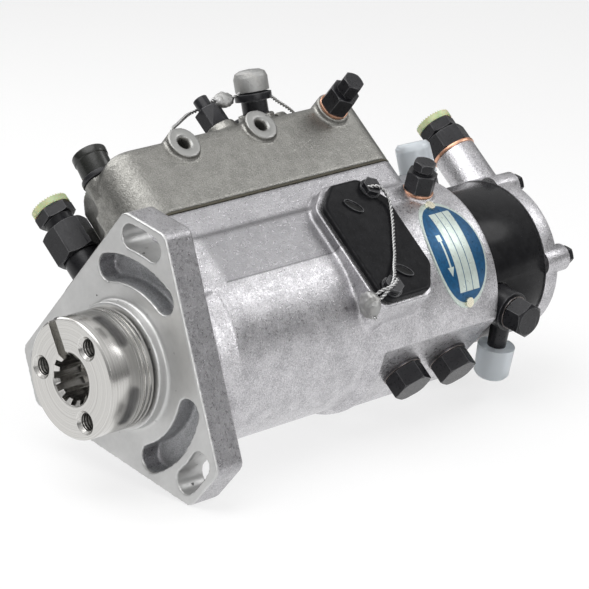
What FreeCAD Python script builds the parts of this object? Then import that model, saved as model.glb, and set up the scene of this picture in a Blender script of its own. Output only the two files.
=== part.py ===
import FreeCAD, Part
import math
import os
import Sketcher
from FreeCAD import Placement, Rotation, Vector

# Distributor type diesel injection pump with a mechanical governor.
# Frame: the origin is the centre of the flange's engine side face on the drive axis,
# +Y runs along the drive axis to the hydraulic head, +Z rises to the governor cover,
# and +X looks to the side with the inspection cover. Lengths are in millimetres, angles in degrees.

# Driving dimensions: alias, value, what it is.
TABLE = [
    ("hub_front", 25.9, "drive hub face ahead of the flange"),
    ("hub_back", 5.1, "back of the hub's rim ahead of the flange"),
    ("hub_radius", 23.0, "drive hub rim"),
    ("hub_neck_radius", 15.0, "hub journal in the bush"),
    ("hub_bore_radius", 8.2, "hub bore at the tips of the internal splines"),
    ("spline_root_radius", 9.9, "root of the internal splines"),
    ("spline_depth", 15.0, "length of the internal splines"),
    ("spline_space", 2.6, "width of a space between two splines"),
    ("hub_chamfer", 0.8, "chamfer on the hub's edges"),
    ("tap_pitch_radius", 16.6, "circle of the hub's tapped holes"),
    ("tap_radius", 3.4, "tapped hole in the hub"),
    ("tap_mouth_radius", 4.7, "countersink of the hub's tapped holes"),
    ("tap_depth", 15.0, "depth of the hub's tapped holes"),
    ("slot_angle", 68.6, "direction of the timing slot in the hub face"),
    ("slot_width", 4.6, "timing slot"),
    ("slot_depth", 5.0, "timing slot"),
    ("flange_thickness", 13.5, "mounting flange"),
    ("lobe_reach", 58.75, "corner of a flange lobe from the drive axis"),
    ("lobe_spread", 11.0, "half angle between a lobe's two corners"),
    ("lobe_turn", 30.0, "direction of the first lobe"),
    ("lobe_round", 4.0, "rounding of the lobe corners"),
    ("slot_pitch_radius", 50.05, "circle of the fixing slots"),
    ("slot_end_radius", 4.75, "half width of a fixing slot"),
    ("slot_sweep", 13.5, "angle between the end centres of a fixing slot"),
    ("pocket_inner", 31.2, "inner radius of the cast pocket in a lobe"),
    ("pocket_outer", 41.8, "outer radius of the cast pocket in a lobe"),
    ("pocket_sweep", 50.0, "angle between the end centres of a pocket"),
    ("pocket_depth", 8.5, "cast pocket"),
    ("pilot_radius", 24.4, "pilot ring that centres the pump"),
    ("pilot_length", 4.4, "pilot ring ahead of the flange"),
    ("bush_radius", 18.5, "bore for the bush and the seal"),
    ("bush_length", 19.0, "hub bush"),
    ("seal_length", 7.0, "shaft seal"),
    ("running_gap", 0.05, "radial clearance of a running fit"),
    ("seat_gap", 0.3, "clearance between parts that pass each other"),
    ("neck_radius", 35.0, "barrel behind the flange"),
    ("neck_end", 22.0, "where the neck reaches the barrel"),
    ("barrel_radius", 39.4, "barrel round the governor"),
    ("rear_radius", 42.0, "barrel round the head"),
    ("rear_start", 92.0, "start of the larger barrel"),
    ("rear_rise", 3.0, "length of the step up to the larger barrel"),
    ("housing_end", 161.0, "rear face of the housing"),
    ("chamber_start", 26.0, "front wall of the governor chamber"),
    ("deck_half_width", 35.8, "deck under the governor cover"),
    ("deck_top", 37.0, "deck under the governor cover"),
    ("deck_end", 149.0, "rear end of the deck"),
    ("deck_round", 9.0, "rear corners of the deck"),
    ("side_top", 22.6, "top of the flat side below the deck"),
    ("opening_half_width", 21.0, "opening in the deck"),
    ("opening_start", 32.0, "opening in the deck"),
    ("opening_end", 142.0, "opening in the deck"),
    ("flat_height", 36.0, "bottom flat below the drive axis"),
    ("flat_start", 97.0, "front end of the bottom flat"),
    ("gasket_thickness", 0.8, "cover gasket"),
    ("cover_front", 15.0, "front of the governor cover"),
    ("cover_corner", 14.0, "front corners of the governor cover"),
    ("cover_top", 69.0, "roof of the governor cover"),
    ("cover_nose", 10.0, "rounding of the roof down to the cover's front"),
    ("cover_wall", 5.5, "wall of the governor cover"),
    ("cover_edge", 4.0, "rounding of the roof's edge"),
    ("shelf_top", 55.5, "low front corner under the adaptor"),
    ("shelf_near_x", 20.5, "where the low corner starts in the cover's front"),
    ("shelf_edge_x", -8.0, "near side of the low corner"),
    ("shelf_edge_y", 30.5, "end of the low corner's slanting side"),
    ("shelf_end", 42.0, "rear end of the low corner"),
    ("shelf_wall", 4.5, "wall behind the low corner"),
    ("boss_radius", 7.0, "tapped side boss on the cover"),
    ("boss_hole_radius", 2.5, "tapped hole of a side boss"),
    ("boss_height", 64.3, "height of the side bosses"),
    ("boss_first", 52.0, "first side boss along the cover"),
    ("boss_second", 92.5, "second side boss along the cover"),
    ("boss_face", 38.0, "face of the side bosses"),
    ("boss_hole_depth", 12.0, "depth of a side boss hole"),
    ("vent_y", 132.0, "cover vent along the cover"),
    ("idle_x", 26.5, "idle screw"),
    ("idle_y", 83.0, "idle screw"),
    ("idle_seat", 73.0, "seat of the idle screw's sleeve"),
    ("idle_radius", 5.6, "idle lock sleeve across its corners"),
    ("idle_length", 9.0, "idle lock sleeve"),
    ("stop_x", 28.0, "maximum speed screw"),
    ("stop_y", 103.5, "maximum speed screw"),
    ("stop_seat", 75.0, "seat of the maximum speed screw"),
    ("stop_tilt", 35.0, "lean of the maximum speed screw"),
    ("stop_radius", 5.2, "maximum speed screw body"),
    ("leakoff_x", 19.0, "leak off connector"),
    ("leakoff_y", 22.5, "leak off connector"),
    ("leakoff_seat", 66.2, "seat of the leak off connector"),
    ("leakoff_lean", 8.0, "lean of the leak off connector"),
    ("adaptor_x", -19.0, "front adaptor"),
    ("adaptor_y", 27.5, "front adaptor"),
    ("adaptor_flats", 17.0, "front adaptor across its flats"),
    ("adaptor_length", 14.0, "front adaptor hexagon"),
    ("plate_start", 86.8, "inspection cover along the housing"),
    ("plate_end", 119.4, "inspection cover along the housing"),
    ("plate_low", -26.8, "inspection cover's lower edge"),
    ("plate_high", 26.6, "inspection cover's upper edge"),
    ("plate_cut", 8.0, "corner taken off the inspection cover"),
    ("plate_thickness", 2.6, "inspection cover"),
    ("pad_face", 43.6, "face that the inspection cover lies on"),
    ("pad_margin", 1.5, "pad round the inspection cover"),
    ("seal_radius", 4.5, "lead seal"),
    ("seal_x", 39.4, "lead seal beside the inspection cover"),
    ("seal_z", -23.5, "lead seal beside the inspection cover"),
    ("label_y", 142.3, "centre of the data plate"),
    ("label_turn", -16.0, "centre of the data plate round the barrel"),
    ("label_half_length", 22.2, "data plate across the barrel"),
    ("label_half_width", 14.0, "data plate along the barrel"),
    ("label_thickness", 0.5, "data plate"),
    ("rivet_turn", 28.6, "rivets round the barrel from the middle of the data plate"),
    ("fitting_y", 144.3, "head locating fitting"),
    ("fitting_turn", 25.0, "head locating fitting round the barrel"),
    ("fitting_flats", 11.0, "head locating fitting across its flats"),
    ("fitting_rise", 0.8, "spot face of the head locating fitting above the barrel"),
    ("screw_flats", 14.5, "screws on the bottom flat across their flats"),
    ("cam_screw_y", 121.0, "cam locating screw"),
    ("lock_screw_y", 147.0, "head locking screw"),
    ("head_radius", 32.0, "hydraulic head"),
    ("head_start", 128.5, "front face of the hydraulic head"),
    ("head_end", 200.0, "rear face of the hydraulic head"),
    ("outlet_y", 171.3, "delivery outlets along the head"),
    ("outlet_turn", -60.0, "direction of the first delivery outlet"),
    ("outlet_seat", 30.4, "spot face of a delivery outlet from the axis"),
    ("eye_radius", 8.2, "banjo eye"),
    ("eye_height", 9.0, "banjo eye"),
    ("washer_thickness", 1.1, "sealing washers"),
    ("cap_radius", 7.6, "translucent cap"),
    ("cap_length", 13.5, "translucent cap"),
    ("cam_base_radius", 24.0, "cam ring between its lobes"),
    ("cam_start", 114.3, "front face of the cam ring"),
    ("cam_width", 13.4, "cam ring"),
    ("lobe_radius", 6.0, "crown of a cam lobe"),
    ("lobe_height", 1.9, "lift of a cam lobe"),
    ("roller_radius", 4.0, "cam roller"),
    ("roller_length", 10.4, "cam roller"),
    ("plunger_radius", 3.8, "pumping plunger"),
    ("rotor_radius", 8.5, "rotor in the head"),
    ("rotor_head_radius", 12.0, "rotor section that holds the plungers"),
    ("shaft_radius", 7.5, "drive shaft"),
    ("shaft_front", -4.0, "front end of the drive shaft inside the hub"),
    ("plate_front", 108.5, "front of the drive plate"),
    ("drive_plate_radius", 20.0, "drive plate"),
    ("drive_plate_width", 4.0, "drive plate"),
    ("carrier_start", 29.0, "front of the weight carrier"),
    ("carrier_radius", 27.0, "weight carrier"),
    ("carrier_plate", 3.0, "back plate of the weight carrier"),
    ("weight_width", 13.0, "governor weight"),
    ("weight_pivot_radius", 17.0, "weight pivots from the axis"),
    ("weight_pivot_y", 35.0, "weight pivots along the axis"),
    ("weight_length", 12.0, "governor weight along the axis"),
    ("sleeve_radius", 9.8, "thrust sleeve"),
    ("sleeve_collar", 13.0, "collars of the thrust sleeve"),
    ("sleeve_front", 37.6, "front face of the thrust sleeve"),
    ("sleeve_length", 24.0, "thrust sleeve"),
    ("arm_thickness", 2.5, "governor arm"),
    ("arm_pivot_z", 30.0, "governor arm pivot above the axis"),
    ("arm_top", 54.0, "link pin of the governor arm above the axis"),
    ("arm_half_width", 13.0, "governor arm"),
    ("link_x", 7.0, "linkage from the middle plane"),
    ("valve_y", 135.0, "metering valve"),
    ("valve_radius", 4.0, "metering valve"),
    ("valve_top", 45.0, "top of the metering valve"),
    ("valve_rest", 12.4, "turn of the valve's lever at rest"),
    ("throttle_x", 8.0, "throttle shaft"),
    ("throttle_y", 111.0, "throttle shaft"),
    ("spindle_radius", 4.5, "throttle and shut off shafts"),
    ("shutoff_x", -14.0, "shut off shaft"),
    ("shutoff_y", 124.0, "shut off shaft"),
    ("spindle_top", 83.5, "top of the throttle and shut off shafts"),
    ("stud_x", 25.2, "cover screws from the middle plane"),
    ("stud_y", 64.5, "cover screws along the cover"),
    ("stud_radius", 3.0, "cover screws"),
    ("stud_head_radius", 5.2, "counterbore of a cover screw"),
    ("stud_seat", 61.0, "seat of the cover screws' heads"),
    ("plate_base", 7.0, "end plate's base"),
    ("end_face", 216.0, "rear face of the end plate"),
    ("end_core_radius", 22.5, "thick middle of the end plate"),
    ("end_screw_circle", 28.5, "circle of the end plate screws"),
    ("end_screw_turn", 41.0, "direction of the first end plate screw"),
    ("end_screw_radius", 2.6, "end plate screws"),
    ("end_screw_grip", 10.0, "length of an end plate screw in the head"),
    ("end_lug_radius", 5.6, "screw lugs of the end plate"),
    ("end_lug_end", 213.0, "screw lugs of the end plate"),
    ("inlet_x", 8.0, "inlet boss"),
    ("inlet_y", 211.0, "inlet boss"),
    ("inlet_radius", 9.2, "inlet boss"),
    ("inlet_top", 46.0, "top of the inlet boss"),
    ("piston_radius", 3.4, "regulating piston in the inlet boss"),
    ("liner_radius", 16.5, "outside of the transfer pump liner"),
    ("liner_bore_radius", 13.0, "bore of the transfer pump liner"),
    ("liner_offset", 1.5, "eccentric offset of the liner bore"),
    ("liner_width", 7.2, "transfer pump liner"),
    ("transfer_radius", 10.0, "transfer pump rotor"),
    ("blade_thickness", 2.2, "transfer pump blade"),
    ("blade_half_length", 10.9, "transfer pump blade"),
    ("blade_travel", 0.5, "slide of a blade to either side"),
    ("rotor_floor", 1.5, "floor of the blade slots"),
]

SPLINES = 12
LOBES = 3
CAM_LOBES = 6
WEIGHTS = 4
OUTLETS = 3

doc = FreeCAD.newDocument("injection_pump")
sheet = doc.addObject("Spreadsheet::Sheet", "sizes")
for row, (alias, value, meaning) in enumerate(TABLE, start=1):
    sheet.set("A%d" % row, meaning)
    sheet.set("B%d" % row, str(value))
    sheet.setAlias("B%d" % row, alias)
doc.recompute()


class Size:
    """A number together with the spreadsheet formula that it comes from."""

    def __init__(self, value, text):
        self.value = float(value)
        self.text = text

    def __add__(self, other):
        other = size_of(other)
        return Size(self.value + other.value, "(%s + %s)" % (self.text, other.text))

    def __radd__(self, other):
        return size_of(other) + self

    def __sub__(self, other):
        other = size_of(other)
        return Size(self.value - other.value, "(%s - %s)" % (self.text, other.text))

    def __rsub__(self, other):
        return size_of(other) - self

    def __mul__(self, other):
        other = size_of(other)
        return Size(self.value * other.value, "(%s * %s)" % (self.text, other.text))

    def __rmul__(self, other):
        return size_of(other) * self

    def __truediv__(self, other):
        other = size_of(other)
        return Size(self.value / other.value, "(%s / %s)" % (self.text, other.text))

    def __neg__(self):
        return Size(-self.value, "(0 - %s)" % self.text)


def size_of(number):
    if isinstance(number, Size):
        return number
    return Size(number, "%.9g" % number if number >= 0 else "(0 - %.9g)" % -number)


def cosine(angle):
    angle = size_of(angle)
    return Size(math.cos(math.radians(angle.value)), "cos(%s)" % angle.text)


def sine(angle):
    angle = size_of(angle)
    return Size(math.sin(math.radians(angle.value)), "sin(%s)" % angle.text)


class Sizes:
    """The sheet's cells by name."""


d = Sizes()
for alias, value, meaning in TABLE:
    setattr(d, alias, Size(sheet.get(alias), "sizes." + alias))

AXES = {
    "+X": Rotation(Vector(0, 1, 0), 90),
    "-X": Rotation(Vector(0, 1, 0), -90),
    "+Y": Rotation(Vector(1, 0, 0), -90),
    "-Y": Rotation(Vector(1, 0, 0), 90),
    "+Z": Rotation(),
    "-Z": Rotation(Vector(1, 0, 0), 180),
}
ORIGIN = (0, 0, 0)
NODES = []
WASHERS = []
PLUGS = []
VENT_BODIES = []
VENT_SCREWS = []
GASKETS = []
used_names = {}


def unique(name):
    used_names[name] = used_names.get(name, 0) + 1
    return "%s_%d" % (name, used_names[name])


def bind(thing, prop, size):
    thing.setExpression(prop, size_of(size).text)


def put(thing, at=ORIGIN, turn="+Z"):
    """Turns an object and ties its position to the sheet."""
    rotation = AXES[turn] if isinstance(turn, str) else turn
    spot = [size_of(value) for value in at]
    thing.Placement = Placement(Vector(*[value.value for value in spot]), rotation)
    for letter, value in zip("xyz", spot):
        bind(thing, "Placement.Base." + letter, value)
    return thing


def about_y(angle):
    """A turn that takes +Z to the direction at this angle from +X towards +Z."""
    return Rotation(Vector(0, 1, 0), 90 - size_of(angle).value)


def polar(radius, angle, along):
    return (radius * cosine(angle), along, radius * sine(angle))


def primitive(kind, name, at, turn, **measures):
    thing = doc.addObject("Part::" + kind, unique(name))
    for prop, size in measures.items():
        bind(thing, prop, size)
    return put(thing, at, turn)


def rod(name, radius, length, at=ORIGIN, turn="+Y"):
    return primitive("Cylinder", name, at, turn, Radius=radius, Height=length)


def cone(name, first, second, length, at=ORIGIN, turn="+Y"):
    return primitive("Cone", name, at, turn, Radius1=first, Radius2=second, Height=length)


def block(name, low, high):
    measures = [size_of(b) - a for a, b in zip(low, high)]
    return primitive("Box", name, low, "+Z", Length=measures[0], Width=measures[1],
                     Height=measures[2])


def hexagon(name, flats, length, at=ORIGIN, turn="+Z"):
    thing = doc.addObject("Part::Prism", unique(name))
    thing.Polygon = 6
    bind(thing, "Circumradius", size_of(flats) / math.sqrt(3))
    bind(thing, "Height", length)
    return put(thing, at, turn)


def ball(name, radius, at=ORIGIN):
    return primitive("Sphere", name, at, "+Z", Radius=radius)


def fuse(name, pieces):
    if len(pieces) == 1:
        return pieces[0]
    thing = doc.addObject("Part::MultiFuse", unique(name))
    thing.Shapes = pieces
    thing.Refine = True
    return thing


def cut(name, base, tools):
    thing = doc.addObject("Part::Cut", unique(name))
    thing.Base = base
    thing.Tool = tools[0] if len(tools) == 1 else fuse(name + "_tool", tools)
    thing.Refine = True
    return thing


def overlap(name, pieces):
    thing = doc.addObject("Part::MultiCommon", unique(name))
    thing.Shapes = pieces
    return thing


def group(name, pieces):
    thing = doc.addObject("Part::Compound", unique(name))
    thing.Links = pieces
    return thing


def node(thing, label):
    thing.Label = label
    NODES.append(thing)
    return thing


def tube(name, outer, inner, length, at=ORIGIN, turn="+Y"):
    """A ring, cut in its own frame and then placed."""
    skin = rod(name + "_outside", outer, length, turn="+Z")
    bore = rod(name + "_bore", inner, size_of(length) + 2, at=(0, 0, -1), turn="+Z")
    return put(cut(name, skin, [bore]), at, turn)


def sketch(body, role, name):
    plane = [part for part in body.Origin.OriginFeatures if part.Role == role][0]
    drawing = body.newObject("Sketcher::SketchObject", unique(name))
    drawing.AttachmentSupport = [(plane, "")]
    drawing.MapMode = "FlatFace"
    return drawing


def draw_outline(drawing, points):
    """A closed outline whose corners are tied to the sheet."""
    points = [(size_of(a), size_of(b)) for a, b in points]
    count = len(points)
    for index in range(count):
        start = points[index]
        end = points[(index + 1) % count]
        line = Part.LineSegment(Vector(start[0].value, start[1].value, 0),
                                Vector(end[0].value, end[1].value, 0))
        drawing.addGeometry(line, False)
    for index in range(count):
        drawing.addConstraint(Sketcher.Constraint("Coincident", index, 2, (index + 1) % count, 1))
    for index, corner in enumerate(points):
        for kind, size in zip(("DistanceX", "DistanceY"), corner):
            rule = drawing.addConstraint(Sketcher.Constraint(kind, -1, 1, index, 1, size.value))
            drawing.setExpression("Constraints[%d]" % rule, size.text)


def extruded(name, role, points, length, reverse=False):
    """A body padded from an outline on one of its origin planes."""
    body = doc.addObject("PartDesign::Body", unique(name))
    drawing = sketch(body, role, name + "_outline")
    draw_outline(drawing, points)
    pad = body.newObject("PartDesign::Pad", unique(name + "_pad"))
    pad.Profile = drawing
    bind(pad, "Length", length)
    pad.Reversed = reverse
    doc.recompute()
    return body


def turned(name, points):
    """A body turned about its own Z axis from an outline of radius and height."""
    body = doc.addObject("PartDesign::Body", unique(name))
    drawing = sketch(body, "XZ_Plane", name + "_outline")
    draw_outline(drawing, points)
    turn = body.newObject("PartDesign::Revolution", unique(name + "_turn"))
    turn.Profile = drawing
    turn.ReferenceAxis = (drawing, ["V_Axis"])
    turn.Angle = 360
    doc.recompute()
    return body


def rounded(body, radius, wanted):
    """A fillet on the edges of the body's last feature that the test picks."""
    doc.recompute()
    tip = body.Tip
    names = ["Edge%d" % (index + 1) for index, edge in enumerate(tip.Shape.Edges) if wanted(edge)]
    fillet = body.newObject("PartDesign::Fillet", unique(body.Name + "_fillet"))
    fillet.Base = (tip, names)
    bind(fillet, "Radius", radius)
    body.Tip = fillet
    doc.recompute()
    return body


def ends_of(edge):
    return edge.Vertexes[0].Point, edge.Vertexes[-1].Point


def runs_along(edge, axis):
    """True for a straight edge along this axis."""
    first, last = ends_of(edge)
    step = last - first
    others = [abs(value) for index, value in enumerate(step) if index != "XYZ".index(axis)]
    return edge.Length > 0.01 and max(others) < 0.001 and abs(step.Length - edge.Length) < 0.001


# Pump housing

def curved_slot(name, inner, outer, centre, sweep, start_y, depth):
    """A slot that follows a circle round the drive axis, with round ends."""
    end_radius = (outer - inner) / 2
    pitch = (outer + inner) / 2
    skin = rod(name + "_outer", outer, depth, turn="+Z")
    core = rod(name + "_inner", inner, depth + 2, at=(0, 0, -1), turn="+Z")
    for sector in (skin, core):
        bind(sector, "Angle", sweep)
    bind(core, "Angle", 360)
    band = cut(name + "_band", skin, [core])
    ends = [rod(name + "_end", end_radius, depth, at=(pitch, 0, 0), turn="+Z"),
            rod(name + "_end", end_radius, depth,
                at=(pitch * cosine(sweep), pitch * sine(sweep), 0), turn="+Z")]
    slot = fuse(name, [band] + ends)
    first = size_of(centre) + sweep / 2
    turn = AXES["+Y"].multiply(Rotation(Vector(0, 0, 1), -first.value))
    return put(slot, (0, start_y, 0), turn)


def flange_blank():
    corners = []
    for lobe in range(LOBES):
        centre = d.lobe_turn + 120 * lobe
        for side in (-1, 1):
            angle = centre + side * d.lobe_spread
            corners.append((d.lobe_reach * cosine(angle), d.lobe_reach * sine(angle)))
    body = extruded("flange", "XZ_Plane", corners, d.flange_thickness, reverse=True)
    return rounded(body, d.lobe_round, lambda edge: runs_along(edge, "Y"))


def side_pad(name, margin, start, face):
    """The outline of the inspection cover, grown by a margin, from one X to another."""
    low_y = d.plate_start - margin
    high_y = d.plate_end + margin
    low_z = d.plate_low - margin
    high_z = d.plate_high + margin
    cut_y = d.plate_cut
    points = [(low_y, low_z), (high_y - cut_y, low_z), (high_y, low_z + cut_y * 1.3),
              (high_y, high_z - cut_y * 1.4), (high_y - cut_y, high_z), (low_y + cut_y * 1.2, high_z),
              (low_y, high_z - cut_y)]
    body = extruded(name, "YZ_Plane", points, face - start)
    body = rounded(body, d.plate_cut * 0.7, lambda edge: runs_along(edge, "X"))
    return put(body, (start, 0, 0), "+Z")


def plate_screw_spots():
    return [(d.plate_end - 6.2, d.plate_high - 6.0), (d.plate_start + 6.0, d.plate_low + 4.8)]


def make_housing():
    skin = turned("barrel", [
        (0, 0), (d.neck_radius, 0), (d.neck_radius, d.flange_thickness),
        (d.neck_radius + 1.0, d.flange_thickness + 3.5), (d.barrel_radius, d.neck_end),
        (d.barrel_radius, d.rear_start), (d.rear_radius, d.rear_start + d.rear_rise),
        (d.rear_radius, d.housing_end - 1), (d.rear_radius - 1, d.housing_end), (0, d.housing_end)])
    put(skin, ORIGIN, "+Y")
    pilot = rod("pilot", d.pilot_radius, d.pilot_length + 1, at=(0, -d.pilot_length, 0))
    side = extruded("side", "XZ_Plane", [
        (-d.barrel_radius, 0), (d.barrel_radius, 0), (d.barrel_radius, d.side_top),
        (d.deck_half_width, d.side_top + 2.5), (d.deck_half_width, d.deck_top),
        (-d.deck_half_width, d.deck_top), (-d.deck_half_width, d.side_top + 2.5),
        (-d.barrel_radius, d.side_top)], d.deck_end - d.flange_thickness, reverse=True)
    rounded(side, d.deck_round, lambda edge: runs_along(edge, "Z")
            and edge.Vertexes[0].Point.y > 1 and edge.Vertexes[0].Point.z > d.side_top.value)
    put(side, (0, d.flange_thickness, 0), "+Z")
    pad = side_pad("cover_pad", d.pad_margin, d.head_radius - 12, d.pad_face)
    fitting_boss = rod("fitting_boss", d.fitting_flats / 2 + 0.9, d.fitting_rise + 5,
                       at=polar(d.rear_radius - 5, d.fitting_turn, d.fitting_y),
                       turn=about_y(d.fitting_turn))
    body = fuse("casting", [flange_blank(), skin, pilot, side, pad, fitting_boss])
    tools = [
        rod("seal_bore", d.bush_radius, d.pilot_length + d.chamber_start + 2,
            at=(0, -d.pilot_length - 1, 0)),
        rod("chamber", d.head_radius, d.housing_end - d.chamber_start + 1,
            at=(0, d.chamber_start, 0)),
        block("opening", (-d.opening_half_width, d.opening_start, 0),
              (d.opening_half_width, d.opening_end, d.deck_top + 1)),
        block("deck_face", (-d.deck_half_width, d.flange_thickness, d.deck_top),
              (d.deck_half_width, d.deck_end, d.rear_radius + 1)),
        rod("spot_face", d.fitting_flats / 2 + 0.9, 20,
            at=polar(d.rear_radius + d.fitting_rise, d.fitting_turn, d.fitting_y),
            turn=about_y(d.fitting_turn)),
        block("bottom_flat", (-d.rear_radius, d.flat_start, -d.rear_radius - 9),
              (d.rear_radius, d.housing_end + 1, -d.flat_height)),
        rod("fitting_hole", 4, 20, at=polar(d.head_radius - 2, d.fitting_turn, d.fitting_y),
            turn=about_y(d.fitting_turn)),
    ]
    for screw_y in (d.cam_screw_y, d.lock_screw_y):
        tools.append(rod("screw_hole", 4, 12, at=(0, screw_y, -d.flat_height - 2), turn="+Z"))
    for lobe in range(LOBES):
        centre = d.lobe_turn + 120 * lobe
        tools.append(curved_slot("fixing_slot", d.slot_pitch_radius - d.slot_end_radius,
                                 d.slot_pitch_radius + d.slot_end_radius, centre, d.slot_sweep,
                                 -1, d.flange_thickness + 12))
        tools.append(curved_slot("pocket", d.pocket_inner, d.pocket_outer, centre,
                                 d.pocket_sweep, -1, d.pocket_depth + 1))
    for spot_y, spot_z in plate_screw_spots():
        tools.append(rod("cover_screw_hole", 2.1, 9, at=(d.pad_face - 8, spot_y, spot_z), turn="+X"))
    for side in (-1, 1):
        angle = d.label_turn + side * d.rivet_turn
        tools.append(rod("rivet_hole", 1.2, 8, at=polar(d.rear_radius - 5, angle, d.label_y),
                         turn=about_y(angle)))
    for side_sign in (-1, 1):
        tools.append(rod("stud_hole", d.stud_radius, 12,
                         at=(side_sign * d.stud_x, d.stud_y, d.deck_top - 11), turn="+Z"))
    return node(cut("housing", body, tools), "pump_housing")


# Drive end

def make_drive_hub():
    front = d.hub_front
    profile = [
        (d.spline_root_radius + 0.6, 0), (d.hub_radius - d.hub_chamfer, 0),
        (d.hub_radius, d.hub_chamfer), (d.hub_radius, front - d.hub_back - d.hub_chamfer),
        (d.hub_radius - d.hub_chamfer, front - d.hub_back),
        (d.hub_neck_radius, front - d.hub_back), (d.hub_neck_radius, front + d.carrier_start),
        (d.shaft_radius, front + d.carrier_start), (d.shaft_radius, front + d.shaft_front),
        (d.hub_bore_radius, front + d.shaft_front), (d.hub_bore_radius, 1.6)]
    blank = put(turned("hub_blank", profile), (0, -front, 0), "+Y")
    step = 360.0 / SPLINES
    tools = []
    for index in range(SPLINES):
        angle = index * step + step / 2
        tool = primitive("Box", "spline_space", ORIGIN, "+Z", Length=d.spline_root_radius,
                         Width=d.spline_space, Height=d.spline_depth + 1)
        turn = AXES["+Y"].multiply(Rotation(Vector(0, 0, 1), angle))
        side = Rotation(Vector(0, 1, 0), angle).multVec(Vector(0, 0, 1))
        shift = d.spline_space / 2
        put(tool, (shift * side.x, -front - 1, shift * side.z), turn)
        tools.append(tool)
    for offset in (60, -60, 180):
        angle = d.slot_angle + offset
        tools.append(rod("tapped_hole", d.tap_radius, d.tap_depth,
                         at=polar(d.tap_pitch_radius, angle, -front)))
        tools.append(cone("tap_mouth", d.tap_mouth_radius + 0.2, d.tap_radius,
                          d.tap_mouth_radius - d.tap_radius + 0.2,
                          at=polar(d.tap_pitch_radius, angle, -front - 0.2)))
    slot = primitive("Box", "timing_slot", ORIGIN, "+Z", Length=d.hub_radius + 1,
                     Width=d.slot_width, Height=d.slot_depth + 1)
    turn = AXES["+Y"].multiply(Rotation(Vector(0, 0, 1), -d.slot_angle.value))
    shift = d.slot_width / 2
    put(slot, (-shift * sine(d.slot_angle), -front - 1, shift * cosine(d.slot_angle)), turn)
    tools.append(slot)
    groove_at = front - d.hub_back
    for back in (3.2, 5.4):
        tools.append(tube("hub_groove", d.hub_radius + 1, d.hub_radius - 0.35, 0.5,
                          at=(0, -front + groove_at - back, 0)))
    return node(cut("hub", blank, tools), "drive_hub")


def make_drive_end():
    node(tube("bush", d.bush_radius, d.hub_neck_radius + d.running_gap, d.bush_length,
              at=(0, d.chamber_start - d.bush_length, 0)), "hub_bush")
    seal_at = d.chamber_start - d.bush_length - d.seal_length
    seal = turned("seal", [
        (d.hub_neck_radius + d.running_gap, 0), (d.bush_radius, 0), (d.bush_radius, d.seal_length),
        (d.bush_radius - 1.2, d.seal_length), (d.bush_radius - 1.2, 1.6),
        (d.hub_neck_radius + 1.2, 1.6), (d.hub_neck_radius + d.running_gap, d.seal_length - 2)])
    node(put(seal, (0, seal_at, 0), "+Y"), "shaft_seal")
    shaft = rod("shaft", d.shaft_radius, d.plate_front + d.drive_plate_width - d.shaft_front,
                at=(0, d.shaft_front, 0))
    plate = rod("drive_plate", d.drive_plate_radius, d.drive_plate_width, at=(0, d.plate_front, 0))
    thread = rod("shaft_thread", 4, 14, at=(0, d.shaft_front - 1, 0))
    node(cut("shaft", fuse("shaft_body", [shaft, plate]), [thread]), "drive_shaft")
    washer_at = d.shaft_front - d.washer_thickness
    collar = rod("hub_screw_collar", d.hub_bore_radius - 0.4, d.washer_thickness, at=(0, washer_at, 0))
    head = hexagon("hub_screw_head", 11, 5, at=(0, washer_at - 5, 0), turn="+Y")
    shank = rod("hub_screw_shank", 4, 12, at=(0, washer_at - 1, 0))
    node(fuse("hub_screw", [head, collar, shank]), "hub_screw")


# Governor

def make_weight(index):
    """A flyweight: a curved block on a pin, with a toe that pushes the thrust sleeve."""
    step = 360.0 / WEIGHTS
    half = d.weight_width / 2
    pivot_y = d.weight_pivot_y
    pivot_r = d.weight_pivot_radius
    mass = extruded("weight_mass", "YZ_Plane", [
        (pivot_y - 2.2, pivot_r - 2.4), (pivot_y + 2.2, pivot_r - 2.0),
        (pivot_y + d.weight_length, pivot_r - 0.5),
        (pivot_y + d.weight_length, d.carrier_radius - 2.5),
        (pivot_y + 2.0, d.carrier_radius - 2.5), (pivot_y - 2.2, pivot_r + 1)], d.weight_width)
    put(mass, (-half, 0, 0), "+Z")
    toe = extruded("weight_toe", "YZ_Plane", [
        (pivot_y - 2.2, d.sleeve_radius + 0.9), (d.sleeve_front - d.seat_gap, d.sleeve_radius + 0.9),
        (pivot_y + 2.0, pivot_r - 1.9), (pivot_y - 2.2, pivot_r - 1.9)], d.weight_width * 0.6)
    put(toe, (-d.weight_width * 0.3, 0, 0), "+Z")
    body = fuse("weight", [mass, toe])
    round_off = rod("weight_round", d.carrier_radius - 0.6, 40, at=(0, pivot_y - 10, 0))
    body = overlap("weight_body", [body, round_off])
    bore = rod("weight_bore", 1.5 + d.running_gap, d.weight_width + 2,
               at=(-half - 1, pivot_y, pivot_r), turn="+X")
    weight = cut("governor_weight", body, [bore])
    put(weight, ORIGIN, Rotation(Vector(0, 1, 0), index * step))
    return node(weight, "governor_weight_%d" % (index + 1))


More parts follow.
